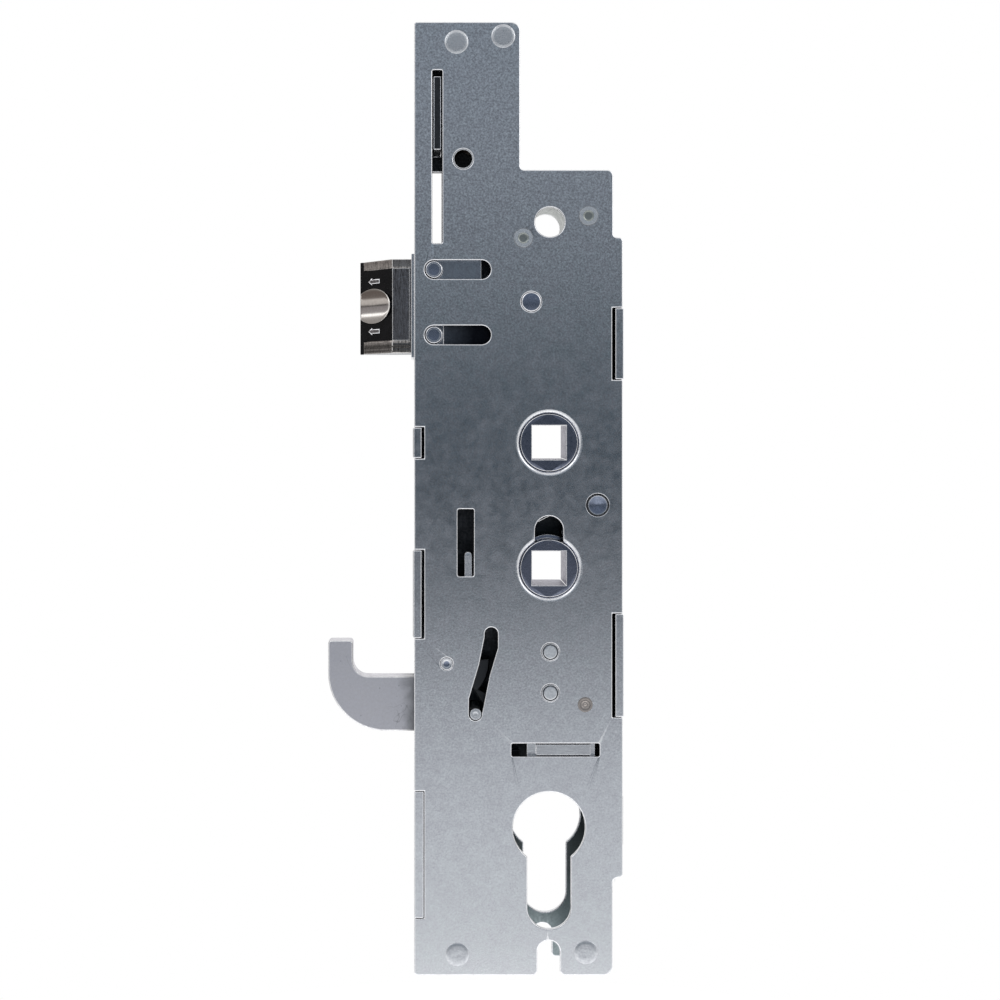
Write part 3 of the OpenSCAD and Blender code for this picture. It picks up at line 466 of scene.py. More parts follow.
def finishes():
    """Every finish of the lock, by a plain name."""
    f = bpy.context.scene.lock_finish
    zinc, dull, rim, nickel, cast, brown, plastic = (tuple(color) for color in (
        f.zinc_bright, f.zinc_dull, f.rim, f.nickel, f.cast, f.brown, f.plastic))
    return {
        "zinc": zinc_finish("zinc plate", zinc, dull, f.grain_size, f.blotch_size),
        # partly bare steel, partly a painted highlight on the plates' rounded edges
        "rim": metal("punched rim", rim, scaled(rim, 0.82), (0.18, 0.34), 0.0004, 0.0015,
                     relief=0.15, marks=0.1),
        "inner": metal("inner steel", (0.40, 0.42, 0.40), (0.27, 0.29, 0.28), (0.26, 0.42), 0.0005,
                       0.002, relief=0.35, marks=0.3),
        # painted shade: near-black steel for the works that lie in shade within the case, and for
        # dark bands on pin heads
        "oiled": metal("oiled steel", (0.075, 0.078, 0.085), (0.03, 0.032, 0.036), (0.30, 0.46),
                       0.0005, 0.002, relief=0.35, marks=0.12, mark_color=(0.3, 0.31, 0.33)),
        # painted shade on the case's inner faces
        "inside": inside_finish("case inside", (0.38, 0.44, 0.45), (0.25, 0.29, 0.30)),
        # lighter painted shade: edges of those works, a ring round the dimpled rivets and the latch
        # head's underside
        "half_shaded": metal("oiled steel edge", (0.34, 0.35, 0.37), (0.16, 0.165, 0.18),
                            (0.24, 0.36), relief=0.2, marks=0.1),
        # the carriage's lower arm carries painted shade behind the slots
        "carriage": carriage_finish("carriage steel", (0.36, 0.40, 0.45), (0.20, 0.22, 0.26)),
        "rivet": metal("rivet steel", (0.66, 0.68, 0.70), (0.50, 0.51, 0.54), (0.30, 0.44), 0.0004,
                       0.001, relief=1.0, relief_depth=0.00008, marks=0.2),
        "pin": metal("turned pin", (0.36, 0.40, 0.50), (0.22, 0.25, 0.33), (0.18, 0.30), 0.00045,
                     0.0013, relief=0.6, marks=0.5, mark_color=(0.80, 0.82, 0.85)),
        "bore": metal("follower bore", (0.40, 0.39, 0.45), (0.33, 0.32, 0.37), (0.36, 0.5), 0.0006,
                      0.002, relief=0.3, marks=0.2),
        "follower": metal("plated casting", (0.30, 0.32, 0.40), (0.16, 0.175, 0.23), (0.16, 0.30),
                          0.0005, 0.0012, relief=0.7, marks=1.0, mark_color=(0.80, 0.80, 0.84)),
        "nickel": latch_finish("brushed nickel", nickel),
        "nickel_rim": metal("worn nickel edge", (0.92, 0.90, 0.88), scaled(nickel, 0.9),
                            (0.2, 0.3), marks=0.1),
        "button": metal("polished nickel", (0.80, 0.77, 0.74), (0.70, 0.67, 0.64), (0.08, 0.13),
                        0.0006, 0.003, relief=0.08, marks=0.12),
        "dimple": metal("riveted ring", (0.86, 0.88, 0.90), (0.62, 0.64, 0.67), (0.28, 0.42),
                        0.0005, 0.001, relief=1.0, relief_depth=0.00006, marks=0.2),
        "cast": cast_finish("tumbled steel", cast, scaled(cast, 0.86), 0.6),
        "cast_rim": cast_finish("hook edge", (0.86, 0.86, 0.85), scaled(cast, 0.95), 0.2),
        "wire": metal("spring wire", (0.74, 0.73, 0.71), (0.52, 0.51, 0.50), (0.18, 0.28),
                      0.0004, 0.002, relief=0.1, lines=(1.0, 1.0, 1.0), marks=0.1),
        "brown_ring": metal("plain rivet groove", scaled(brown, 0.6), scaled(brown, 0.4),
                            (0.28, 0.42), marks=0.1),
        "brown": metal("plain rivet steel", brown, scaled(brown, 0.7), (0.28, 0.42), 0.0004, 0.001,
                       relief=0.3, marks=0.2),
        "slide": metal("brushed zinc", zinc, scaled(dull, 0.8), (0.18, 0.30), f.grain_size,
                       f.blotch_size, relief=0.4, lines=(0.12, 1.0, 1.0), line_size=0.0003),
        "plastic": plastic_finish("black plastic", plastic),
        # dark brown thread: its brown is oil on the thread, and its depth of dark is painted shade
        # in the hole
        "thread": metal("oiled thread", (0.06, 0.042, 0.032), (0.02, 0.014, 0.012), (0.3, 0.5),
                        0.0006, 0.002, relief=0.3, marks=0.1, mark_color=(0.2, 0.14, 0.11)),
    }


def ring_faces(rings, steps, closed=False):
    """Quads between rings of points. A closed grid also joins its last ring to its first."""
    r, c = np.meshgrid(np.arange(rings if closed else rings - 1), np.arange(steps), indexing="ij")
    r2, c2 = (r + 1) % rings, (c + 1) % steps
    return np.stack([r * steps + c, r2 * steps + c, r2 * steps + c2, r * steps + c2],
                    axis=-1).reshape(-1, 4)


def end_faces(rings, steps):
    """Triangles from the first ring and from the last to the two points that follow the rings."""
    j = np.arange(steps)
    k, end = (j + 1) % steps, (rings - 1) * steps
    return np.vstack([np.stack([np.full(steps, rings * steps), j, k], axis=-1),
                      np.stack([np.full(steps, rings * steps + 1), end + k, end + j], axis=-1)])


def angles(steps):
    """Even steps round a full turn, in radians."""
    return np.linspace(0.0, 2 * np.pi, steps, endpoint=False)


def unit(vectors):
    """Rows of vectors, each divided by its length."""
    return vectors / np.linalg.norm(vectors, axis=1)[:, None]


def add_object(name, data):
    made = bpy.data.objects.new(name, data)
    bpy.context.scene.collection.objects.link(made)
    return made


def make_piece(name, points, faces, materials, body, face_materials=None):
    """Puts points and faces into a smooth piece that rides on a body."""
    mesh = bpy.data.meshes.new(name)
    mesh.from_pydata(np.asarray(points, float).reshape(-1, 3).tolist(), [],
                     [tuple(int(i) for i in f) for f in faces])
    mesh.validate()
    mesh.polygons.foreach_set("use_smooth", np.ones(len(mesh.polygons), bool))
    for material in materials:
        mesh.materials.append(material)
    if face_materials is not None:
        mesh.polygons.foreach_set("material_index", np.asarray(face_materials, np.int32))
    mesh.update()
    piece = add_object(name, mesh)
    weighted = piece.modifiers.new("even shading", "WEIGHTED_NORMAL")
    weighted.weight = 90
    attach(piece, body)
    return piece


def eased(profile, ease, steps=3):
    """A profile with each inner corner eased by a small curve between points at 'ease' from it."""
    p = np.asarray(profile, float)
    before, corner, after = p[:-2], p[1:-1], p[2:]
    into, out = before - corner, after - corner
    reach_in = np.minimum(ease, 0.45 * np.linalg.norm(into, axis=1))[:, None]
    reach_out = np.minimum(ease, 0.45 * np.linalg.norm(out, axis=1))[:, None]
    a, b = corner + unit(into) * reach_in, corner + unit(out) * reach_out
    t = np.linspace(0.0, 1.0, steps + 1)[None, :, None]
    curve = (1 - t) ** 2 * a[:, None] + 2 * t * (1 - t) * corner[:, None] + t ** 2 * b[:, None]
    return np.vstack([p[:1], curve.reshape(-1, 2), p[-1:]])


def turned_solid(profile, centre, steps):
    """Points and faces of a solid turned about a line parallel to Y.

    Each profile point (radius, depth) is carried round to x = cx + radius cos a and
    z = cz + radius sin a. The first and the last one are on the axis and close the ends.
    """
    a = angles(steps)
    radius, depth = profile[1:-1, :1], profile[1:-1, 1:]
    rings = np.stack([centre[0] + radius * np.cos(a), np.repeat(depth, steps, axis=1),
                      centre[1] + radius * np.sin(a)], axis=-1)
    ends = [(centre[0], profile[i, 1], centre[1]) for i in (0, -1)]
    return np.vstack([rings.reshape(-1, 3), ends]), [
        *ring_faces(len(radius), steps), *end_faces(len(radius), steps)]


def turned_pieces(name, levels, centres, material, body, nodes, ease, bands=()):
    """One piece of several like turned solids, which stands for CAD nodes.

    Each level of the profile is a depth, then points as (radius, distance behind it) in mm.
    Each band gives the radius in mm from which its finish takes the place of the one before.
    """
    profile = eased([(radius * MM, depth + behind * MM)
                     for depth, *places in levels for radius, behind in places], ease * MM)
    points, faces, count = [], [], 0
    for centre in centres:
        p, f = turned_solid(profile, centre, bpy.context.scene.lock_detail.turn_steps)
        points.append(p)
        faces.extend(face + count for face in f)
        count += len(p)
    points = np.vstack(points)
    middles = np.array([points[face].mean(axis=0) for face in faces])
    away = np.min([np.hypot(middles[:, 0] - x, middles[:, 2] - z) for x, z in centres], axis=0)
    kinds = np.searchsorted([radius * MM for radius, _ in bands], away)
    piece = make_piece(name, points, faces, [material, *(finish for _, finish in bands)], body,
                       kinds)
    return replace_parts(piece, *nodes)


def tube_along(path, radius, sides=14):
    """Points and faces of a round tube.

    A ring of 'sides' points stands square to the path at each of its points. The ring's first
    direction is the depth axis less its share along the path, so it doesn't twist.
    """
    along = unit(np.gradient(path, axis=0))
    depth = np.array([0.0, 1.0, 0.0])
    first = unit(depth - (along @ depth)[:, None] * along)
    second = np.cross(along, first)
    a = angles(sides)[:, None]
    rings = path[:, None] + radius * (np.cos(a) * first[:, None] + np.sin(a) * second[:, None])
    rows = len(path)
    return np.vstack([rings.reshape(-1, 3), path[:1], path[-1:]]), [
        *np.roll(ring_faces(rows, sides), 1, axis=1), *end_faces(rows, sides)[:, ::-1]]


def coil_path(axis, depth, radius, turns, pitch, start, leg_in, leg_out, steps=40):
    """Middle line of a wound spring: a straight leg, a helix about a line along Y, a straight leg.

    The helix is x = ax + r cos a, z = az + r sin a, y = depth + pitch * turns done.
    """
    n = int(turns * steps)
    a = start + np.linspace(0, 2 * np.pi * turns, n + 1)
    helix = np.stack([axis[0] + radius * np.cos(a), depth + pitch * (a - start) / (2 * np.pi),
                      axis[1] + radius * np.sin(a)], axis=-1)
    head = np.array([math.sin(a[0]), 0.0, -math.cos(a[0])])
    tail = np.array([-math.sin(a[-1]), 0.0, math.cos(a[-1])])
    t = np.linspace(1.0, 0.1, 8)[:, None]
    return np.vstack([helix[0] + leg_in * t * head, helix, helix[-1] + leg_out * t[::-1] * tail])


def dress_node(name, face, rim, rim_width, segments=2):
    """Gives a CAD node its finish, and a fine rounding of its own finish on each sharp edge."""
    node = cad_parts[name]
    node.data.materials.clear()
    node.data.materials.append(face)
    node.data.materials.append(rim)
    node.data.polygons.foreach_set("material_index", np.zeros(len(node.data.polygons), np.int32))
    node.data.polygons.foreach_set("use_smooth", np.ones(len(node.data.polygons), bool))
    join = node.modifiers.new("join", "WELD")
    join.merge_threshold = 2e-6
    edge = node.modifiers.new("rim", "BEVEL")
    edge.width = rim_width
    edge.segments = segments
    edge.limit_method = "ANGLE"
    edge.angle_limit = RIM_ANGLE
    edge.use_clamp_overlap = False
    edge.loop_slide = False
    edge.harden_normals = False
    edge.face_strength_mode = "FSTR_ALL"
    edge.material = 1
    even = node.modifiers.new("even shading", "WEIGHTED_NORMAL")
    even.mode, even.weight = "FACE_AREA", 100
    even.use_face_influence = True
    return node


def faces_of(node):
    """The middles and the directions of a node's faces."""
    mesh = node.data
    centre, normal = np.zeros(len(mesh.polygons) * 3), np.zeros(len(mesh.polygons) * 3)
    mesh.polygons.foreach_get("center", centre)
    mesh.polygons.foreach_get("normal", normal)
    return centre.reshape(-1, 3), normal.reshape(-1, 3)


def third_finish(node, finish, where):
    """Gives a dressed node's faces that 'where' marks a third finish."""
    node.data.materials.append(finish)
    node.data.polygons.foreach_set("material_index", np.where(where, 2, 0).astype(np.int32))


def line_inside(node, finish):
    """Gives the inner faces of a box-like node a third finish.

    A face is an inner one where it looks at the node's middle and lies within the walls' depth.
    """
    centre, normal = faces_of(node)
    lo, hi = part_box(node.name)
    middle = np.array([0.5 * (lo.x + hi.x), 0.0, 0.5 * (lo.z + hi.z)])
    looks_in = np.sum((middle - centre) * normal, axis=1) > 0
    within = np.abs(centre[:, 1]) < BACK_Y - WALL + 0.05 * MM
    third_finish(node, finish, looks_in & within)


def line_bore(node, finish):
    """Gives a follower's square hole a third finish: the faces near its axis that look sideways."""
    centre, normal = faces_of(node)
    off = np.abs(centre[:, [0, 2]] - (0.0, FOLLOWER_Z[node.name])).max(axis=1)
    third_finish(node, finish, (off < BORE_REACH) & (np.abs(normal[:, 1]) < 0.5))


def line_underside(node, finish):
    """Gives the faces that look down a third finish."""
    third_finish(node, finish, faces_of(node)[1][:, 2] < -0.5)


class LOCK_OT_plates(bpy.types.Operator):
    """Finishes the cover, the rear case, the collar and the fixing tube"""

    bl_idname = "lock_case.plates"
    bl_label = "Dress the plates"

    def execute(self, context):
        f, rim = finishes(), context.scene.lock_finish.plate_rim
        for name in ("front_cover", "rear_case"):
            line_inside(dress_node(name, f["zinc"], f["rim"], rim, 3), f["inside"])
        dress_node("latch_collar", f["zinc"], f["rim"], 0.15 * MM)
        dress_node("fixing_tube", f["inner"], f["rim"], 0.2 * MM)
        return {"FINISHED"}


class LOCK_OT_works(bpy.types.Operator):
    """Finishes the slides, levers, followers and blocks inside the case"""

    bl_idname = "lock_case.works"
    bl_label = "Dress the works"

    def execute(self, context):
        f = finishes()
        # the works within the case are painted dark: painted shade
        for names, face, rim, width in (
                (("lower_slide", "reversing_lever", "detent_lever", "guide_block",
                  "latch_lever"), "oiled", "half_shaded", 0.14),
                (["latch_carriage"], "carriage", "rim", 0.14),
                (["spring_anchor"], "rim", "rim", 0.14), (["upper_slide"], "oiled", "rim", 0.2),
                (["deadlock_slide"], "slide", "rim", 0.16),
                (["deadlock_spring"], "wire", "wire", 0.08)):
            for name in names:
                dress_node(name, f[face], f[rim], width * MM)
        for name in FOLLOWER_Z:
            line_bore(dress_node(name, f["follower"], f["rim"], 0.15 * MM, 3), f["bore"])
        return {"FINISHED"}


class LOCK_OT_hook(bpy.types.Operator):
    """Finishes the hook"""

    bl_idname = "lock_case.hook"
    bl_label = "Dress the hook"

    def execute(self, context):
        f = finishes()
        dress_node("hook", f["cast"], f["cast_rim"], 0.4 * MM, 3)
        return {"FINISHED"}


class LOCK_OT_rivets(bpy.types.Operator):
    """Makes the rivets, pivots, pins and posts as turned pieces"""

    bl_idname = "lock_case.rivets"
    bl_label = "Make the rivets and pins"

    def execute(self, context):
        """Gives each kind its profile from front to rear, and bands of finish on its end."""
        f, front, back = finishes(), FRONT_Y, BACK_Y
        cover_back, rear_front = front + WALL, back - WALL
        cap = ((0, 0.3), (1.5, 0.29), (2.2, 0.24), (2.6, 0.13), (2.8, 0.04), (2.85, 0))
        turned_pieces("corner_rivet_heads", [
            (front, *((radius, -rise) for radius, rise in cap), (1.9, 0)),
            (cover_back, (1.9, 0), (3.0, 0)), (rear_front, (3.0, 0), (1.9, 0)),
            (back, (1.9, 0), *reversed(cap))], CORNER_RIVETS, f["rivet"], "case",
            ["corner_rivets"], 0.1)
        # painted shade: a darker ring round each dimpled rivet's edge
        turned_pieces("dimpled_rivet_heads", [
            (front - 0.25 * MM, (0, 0.16), (0.95, 0.15), (1.25, 0.02), (1.4, 0), (2.35, 0)),
            (front, (2.35, 0), (1.95, 0)), (back, (1.95, 0), (2.35, 0), (2.35, 0.25), (0, 0.25))],
            DIMPLED_RIVETS, f["inner"], "case", ["dimpled_rivets"], 0.15,
            [(1.3, f["dimple"]), (2.2, f["half_shaded"])])
        turned_pieces("lever_pivot_pin", [
            (front, (0, -0.1), (2.35, -0.1)), (back, (2.35, 0.1), (0, 0.1))], [LEVER_AXIS],
            f["pin"], "case", ["lever_pivot"], 0.3,
            [(1.78, f["rim"]), (1.9, f["pin"]), (2.12, f["rim"])])
        turned_pieces("hook_pivot_pin", [
            (front, (0, 0.08), (0.6, 0.07), (0.85, 0), (1.1, -0.05), (1.45, -0.05)),
            (cover_back, (1.45, 0), (1.675, 0)), (rear_front, (1.675, 0), (1.45, 0)),
            (back, (1.45, 0.1), (0, 0.1))], HOOK_PIVOT, f["pin"], "case",
            ["hook_pivot"], 0.16, [(0.72, f["rim"])])
        lo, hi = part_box("hook_drive_pin")
        turned_pieces("drive_pin_turned", [
            (lo.y, (0, 0.12), (0.45, 0.1), (0.6, 0), (1.375, 0)), (hi.y, (1.375, 0), (0, 0))],
            [(0.5 * (lo.x + hi.x), 0.5 * (lo.z + hi.z))], f["rivet"], "drive_pin",
            ["hook_drive_pin"], 0.18)
        # painted shade: a dark outer ring on the detent pivot's head and a dark band in the guide
        # posts' groove
        lo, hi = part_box("detent_pivot")
        turned_pieces("detent_pivot_pin", [
            (lo.y, (0, 0.3), (0.5, 0.26), (1.9, 0.06), (2.15, 0), (2.6, 0)),
            (cover_back, (2.6, 0), (2.0, 0)), (hi.y, (2.0, 0), (0, 0))], [DETENT_AXIS], f["pin"],
            "case", ["detent_pivot"], 0.16, [(2.12, f["rim"]), (2.36, f["oiled"])])
        lo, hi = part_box("guide_posts")
        turned_pieces("guide_post_pins", [
            (lo.y, (0, 0.02), (1.45, 0), (1.6, 0.05), (1.75, 0), (2.05, 0)),
            (hi.y, (2.05, 0), (0, 0))], GUIDE_POSTS, f["dimple"], "case",
            ["guide_posts"], 0.1, [(1.42, f["rim"]), (1.56, f["oiled"]), (1.84, f["rim"])])
        lo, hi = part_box("stop_rivet")
        turned_pieces("plain_rivet_turned", [
            (lo.y, (0, -0.04), (0.22, 0), (0.32, 0.1), (0.75, 0.1), (0.85, 0.02), (1.2, 0.04),
             (1.3, 0), (1.775, 0)), (front, (1.775, 0), (1.45, 0)), (hi.y, (1.45, 0), (0, 0))],
            PLAIN_RIVET, f["brown"], "case", ["stop_rivet"], 0.08,
            [(0.42, f["brown_ring"]), (0.52, f["brown"]), (1.12, f["brown_ring"]),
             (1.24, f["brown"]), (1.68, f["brown_ring"])])
        lo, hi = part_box("latch_guide_pins")
        r, middle = 0.5 * (hi.x - lo.x), 0.5 * (lo.x + hi.x)
        turned_pieces("guide_pins_turned", [
            (lo.y, (0, 0.05), (1.5, 0), (r / MM, 0)), (hi.y, (r / MM, 0), (0, 0))],
            [(middle, lo.z + r), (middle, hi.z - r)], f["pin"], "latch",
            ["latch_guide_pins"], 0.28, [(1.45, f["rim"]), (1.57, f["pin"]), (1.78, f["rim"])])
        return {"FINISHED"}


class LOCK_OT_springs(bpy.types.Operator):
    """Makes the two wound springs from round wire"""

    bl_idname = "lock_case.springs"
    bl_label = "Wind the springs"

    def execute(self, context):
        f = finishes()
        lo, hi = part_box("latch_spring")
        wire = 0.34 * MM
        path = coil_path(LEVER_AXIS, lo.y + wire + 0.06 * MM, 4.15 * MM, 3, 1.25 * MM,
                         math.radians(150), 2.8 * MM, 2.8 * MM)
        points, faces = tube_along(path, wire)
        coil = make_piece("latch_spring_coil", points, faces, [f["wire"]], "latch_lever")
        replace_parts(coil, "latch_spring")
        lo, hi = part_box("detent_spring")
        wire, radius = 0.35 * MM, 2.65 * MM
        far = math.dist(DETENT_AXIS, ANCHOR)
        aim = math.atan2(ANCHOR[1] + 4.2 * MM - DETENT_AXIS[1], ANCHOR[0] - DETENT_AXIS[0])
        lift = math.asin(radius / far)
        path = coil_path(DETENT_AXIS, lo.y + wire, radius, 2, 1.15 * MM,
                         aim - math.pi / 2 + lift, 2 * MM, far * math.cos(lift) - 3.5 * MM)
        points, faces = tube_along(path, wire)
        coil = make_piece("detent_spring_coil", points, faces, [f["wire"]], "case")
        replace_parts(coil, "detent_spring")
        return {"FINISHED"}


class LOCK_OT_tapped_bush(bpy.types.Operator):
    """Makes the tapped bush with its thread"""

    bl_idname = "lock_case.tapped_bush"
    bl_label = "Cut the tapped bush"

    def execute(self, context):
        """Turns a wall whose inner radius rises and falls along a helix: the thread."""
        f = finishes()
        steps, pitch = 96, context.scene.lock_detail.thread_pitch
        lo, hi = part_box("tapped_bush")
        minor, depth, step_y = 2.1 * MM, 0.22 * MM, FRONT_Y + WALL
        a = angles(steps)
        outer = np.array([(radius * MM, y) for radius, y in (
            (2.16, lo.y), (2.27, lo.y), (2.35, lo.y + 0.08 * MM), (2.35, step_y), (3.6, step_y),
            (3.6, hi.y - 0.15 * MM), (3.45, hi.y), (2.32, hi.y))])
        y_in = np.linspace(hi.y - 0.2 * MM, lo.y + 0.2 * MM, 72)
        turn = (y_in[:, None] / pitch + a[None, :] / (2 * np.pi)) % 1.0
        r_in = minor + depth * (1.0 - np.abs(2.0 * turn - 1.0)) - 0.5 * depth
        rows_r = np.vstack([np.repeat(outer[:, :1], steps, axis=1), r_in])
        rows_y = np.repeat([*outer[:, 1], *y_in], steps).reshape(rows_r.shape)
        points = np.stack([TAPPED_AXIS[0] + rows_r * np.cos(a), rows_y,
                           TAPPED_AXIS[1] + rows_r * np.sin(a)], axis=-1)
        faces = ring_faces(len(rows_r), steps, closed=True)
        inner = np.repeat(np.arange(len(rows_r)) >= len(outer) - 1, steps)
        bush = make_piece("threaded_bush", points, faces, [f["rivet"], f["thread"]], "case",
                          inner)
        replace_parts(bush, "tapped_bush")
        return {"FINISHED"}


def latch_slope(x):
    """Depth of the latch's face at x, from the boxes of the head and the tip.

    The slope runs evenly from the flat front face to the tip's wall.
    """
    tip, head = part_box("latch_tip"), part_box("latch_head")
    start, end = head[0].x + LATCH_SLOPE_LENGTH - LATCH_BAND, tip[0].x
    low, high = head[0].y, tip[1].y - LATCH_TIP_WALL
    return low + np.maximum(start - x, 0.0) / (start - end) * (high - low)


def arrow_outline(centre, length, height):
    """Corners of a left-pointing arrow in x and z, clockwise seen from the front."""
    half, shaft = 0.5 * height, 0.29 * height
    tip, tail = centre[0] - 0.5 * length, centre[0] + 0.5 * length
    neck = tip + 0.37 * length
    return np.array([(tip, centre[1]), (neck, centre[1] + half), (neck, centre[1] + shaft),
                     (tail, centre[1] + shaft), (tail, centre[1] - shaft),
                     (neck, centre[1] - shaft), (neck, centre[1] - half)])


def inset(corners, by):
    """A closed outline moved inwards by 'by': each corner goes along its two sides' mitre."""
    before = unit(corners - np.roll(corners, 1, axis=0))
    both = before + np.roll(before, -1, axis=0)
    mitre = np.stack([both[:, 1], -both[:, 0]], axis=-1)
    return corners + by * mitre / (0.5 * np.sum(mitre * mitre, axis=1))[:, None]


def raised_line(corners, width, lift, sink):
    """A raised line round a closed outline on the latch's slope, with a lower field inside it.

    Four loops follow the outline: sunk under the slope, up to the line, across it and down to the
    field, which one face closes. The first loop is closed at the back.
    """
    shoulder, field = 0.25 * width, 0.4 * lift
    loops = [(corners, -sink), (inset(corners, shoulder), lift),
             (inset(corners, width - shoulder), lift), (inset(corners, width), field)]
    rows = [np.stack([p[:, 0], latch_slope(p[:, 0]) - up, p[:, 1]], axis=-1) for p, up in loops]
    points, count = np.vstack(rows), len(corners)
    ring = ring_faces(4, count)
    faces = [*ring, [3 * count + i for i in range(count)], list(range(count - 1, -1, -1))]
    return points, faces, [0] * len(ring) + [1, 0]


def bar_on_slope(x0, x1, z, half, lift, steps=24):
    """A round-topped bar along the latch's slope: half an ellipse carried from x0 to x1,
    drawn in to nothing at both ends by a quarter-circle ease."""
    t = np.linspace(0.0, 1.0, steps)
    x = x0 + (x1 - x0) * t
    ease = np.sqrt(np.clip(1 - np.abs(2 * t - 1) ** 14, 0.0, 1.0))
    a = angles(16)
    zz = z + half * ease[:, None] * np.cos(a)
    up = np.where(np.sin(a) > 0, lift, 0.3 * lift) * np.sin(a)
    yy = latch_slope(x)[:, None] - ease[:, None] * up[None, :]
    points = np.stack([np.repeat(x[:, None], 16, axis=1), yy, zz], axis=-1)
    faces = [*ring_faces(steps, 16), list(range(15, -1, -1)),
             [(steps - 1) * 16 + i for i in range(16)]]
    return points.reshape(-1, 3), faces


class LOCK_OT_latch(bpy.types.Operator):
    """Finishes the latch and makes its button, arrows and cheek ribs"""

    bl_idname = "lock_case.latch"
    bl_label = "Build the latch"

    def execute(self, context):
        f, d = finishes(), context.scene.lock_detail
        # the latch head's faces that look down get the darker edge finish: painted shade under it
        line_underside(dress_node("latch_head", f["nickel"], f["nickel_rim"], 0.13 * MM),
                       f["half_shaded"])
        dress_node("latch_tip", f["plastic"], f["plastic"], 0.1 * MM)
        self.button(f, d)
        self.arrows(f, d)
        self.cheeks(f)
        self.block(f)
        return {"FINISHED"}

    def button(self, f, d):
        """A round button whose face is the latch's slope, crowned along z as a part of a cylinder.

        Depth of the face = slope(x) - crown * (1 - (dz / R)^2), on circles round the centre.
        """
        lo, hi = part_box("latch_button")
        tip_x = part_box("latch_tip")[0].x + 0.05 * MM
        radius, cz = 0.5 * (hi.z - lo.z), 0.5 * (lo.z + hi.z)
        cx = hi.x - radius
        a = angles(d.turn_steps)
        share = np.array([0.12, 0.3, 0.5, 0.68, 0.83, 0.93, 0.98, 1.0])
        rise = np.array([0.0, 0.0, 0.0, 0.0, 0.0, 0.01, 0.05, 0.16]) * MM
        x = np.maximum(cx + radius * share[:, None] * np.cos(a), tip_x)
        z = cz + radius * share[:, None] * np.sin(a)
        crown = d.button_crown * (1 - ((z - cz) / radius) ** 2)
        y = latch_slope(x) - crown + rise[:, None]
        back = np.maximum(y[-1] + 0.4 * MM, hi.y)
        points = np.vstack([np.stack([x, y, z], axis=-1).reshape(-1, 3),
                            np.stack([x[-1], back, z[-1]], axis=-1),
                            (cx, latch_slope(cx) - d.button_crown, cz), (cx, hi.y, cz)])
        grid = len(x) + 1, d.turn_steps
        faces = [*ring_faces(*grid), *end_faces(*grid)]
        piece = make_piece("latch_button_crowned", points, faces, [f["button"]], "latch")
        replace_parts(piece, "latch_button")

    def arrows(self, f, d):
        for name, z in (("latch_arrow_upper", 131.0), ("latch_arrow_lower", 118.9)):
            corners = arrow_outline((ARROW_X, z * MM), 2.95 * MM, 1.87 * MM)
            points, faces, kinds = raised_line(corners, d.arrow_line, 0.1 * MM, 0.1 * MM)
            make_piece(name, points, faces, [f["rim"], f["nickel"]], "latch",
                       kinds)

    def block(self, f):
        """A fine bright frame round the flat front between the cheeks."""
        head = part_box("latch_head")
        x0, x1 = head[0].x + LATCH_SLOPE_LENGTH - LATCH_BAND, head[1].x - 0.35 * MM
        z0, z1 = head[0].z + LOW_CHEEK, head[1].z - HIGH_CHEEK
        corners = np.array([(x0, z0), (x0, z1), (x1, z1), (x1, z0)])
        points, faces, kinds = raised_line(corners, 0.22 * MM, 0.06 * MM, 0.05 * MM)
        make_piece("latch_block_frame", points, faces, [f["nickel_rim"], f["nickel"]], "latch",
                   kinds)

    def cheeks(self, f):
        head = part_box("latch_head")
        x0, x1 = head[0].x + 0.3 * MM, head[1].x
        for name, z, half in (("latch_rib_low", head[0].z + 0.4 * MM, 0.3 * MM),
                              ("latch_rib_mid", head[0].z + 1.55 * MM, 0.28 * MM),
                              ("latch_rib_top", head[0].z + LOW_CHEEK - 0.2 * MM, 0.26 * MM),
                              ("latch_rib_high", head[1].z - HIGH_CHEEK + 0.1 * MM, 0.2 * MM)):
            points, faces = bar_on_slope(x0, x1, z, half, 0.12 * MM)
            make_piece(name, points, faces, [f["nickel"]], "latch")


# light that comes from in front of the lock, by the sine of its height over the horizon
FRONT_STOPS = [
    (-0.36, (0.84, 0.86, 0.87)), (-0.29, (0.78, 0.82, 0.845)), (-0.24, (0.765, 0.785, 0.835)),
    (-0.214, (0.735, 0.755, 0.81)), (-0.18, (0.67, 0.695, 0.74)), (-0.154, (0.51, 0.54, 0.59)),
    (-0.12, (0.19, 0.218, 0.24)), (-0.11, (0.13, 0.15, 0.18)), (-0.069, (0.01, 0.018, 0.03)),
    (-0.03, (0.026, 0.042, 0.063)), (0.011, (0.053, 0.074, 0.10)), (0.04, (0.092, 0.12, 0.138)),
    (0.069, (0.184, 0.213, 0.242)), (0.092, (0.231, 0.265, 0.308)), (0.117, (0.277, 0.316, 0.359)),
    (0.154, (0.308, 0.331, 0.380)), (0.181, (0.291, 0.322, 0.374)), (0.22, (0.266, 0.308, 0.36)),
    (0.40, (0.20, 0.25, 0.30)), (0.60, (0.85, 0.86, 0.88))]
# light on the latch's slope, from the left and behind
SIDE_STOPS = [
    (-0.90, (0.35, 0.34, 0.33)), (-0.24, (0.34, 0.325, 0.32)), (-0.17, (0.45, 0.43, 0.42)),
    (-0.145, 1.5), (-0.115, 1.5), (-0.09, (0.34, 0.325, 0.33)),
    (0.04, (0.27, 0.255, 0.26)), (0.062, (0.06, 0.055, 0.055)), (0.078, (0.06, 0.055, 0.055)),
    (0.10, (0.50, 0.475, 0.46)), (0.20, (0.62, 0.59, 0.57)), (0.235, (0.16, 0.14, 0.13)),
    (0.36, (0.13, 0.11, 0.10)), (0.60, (0.35, 0.34, 0.33)), (0.95, 0.60)]


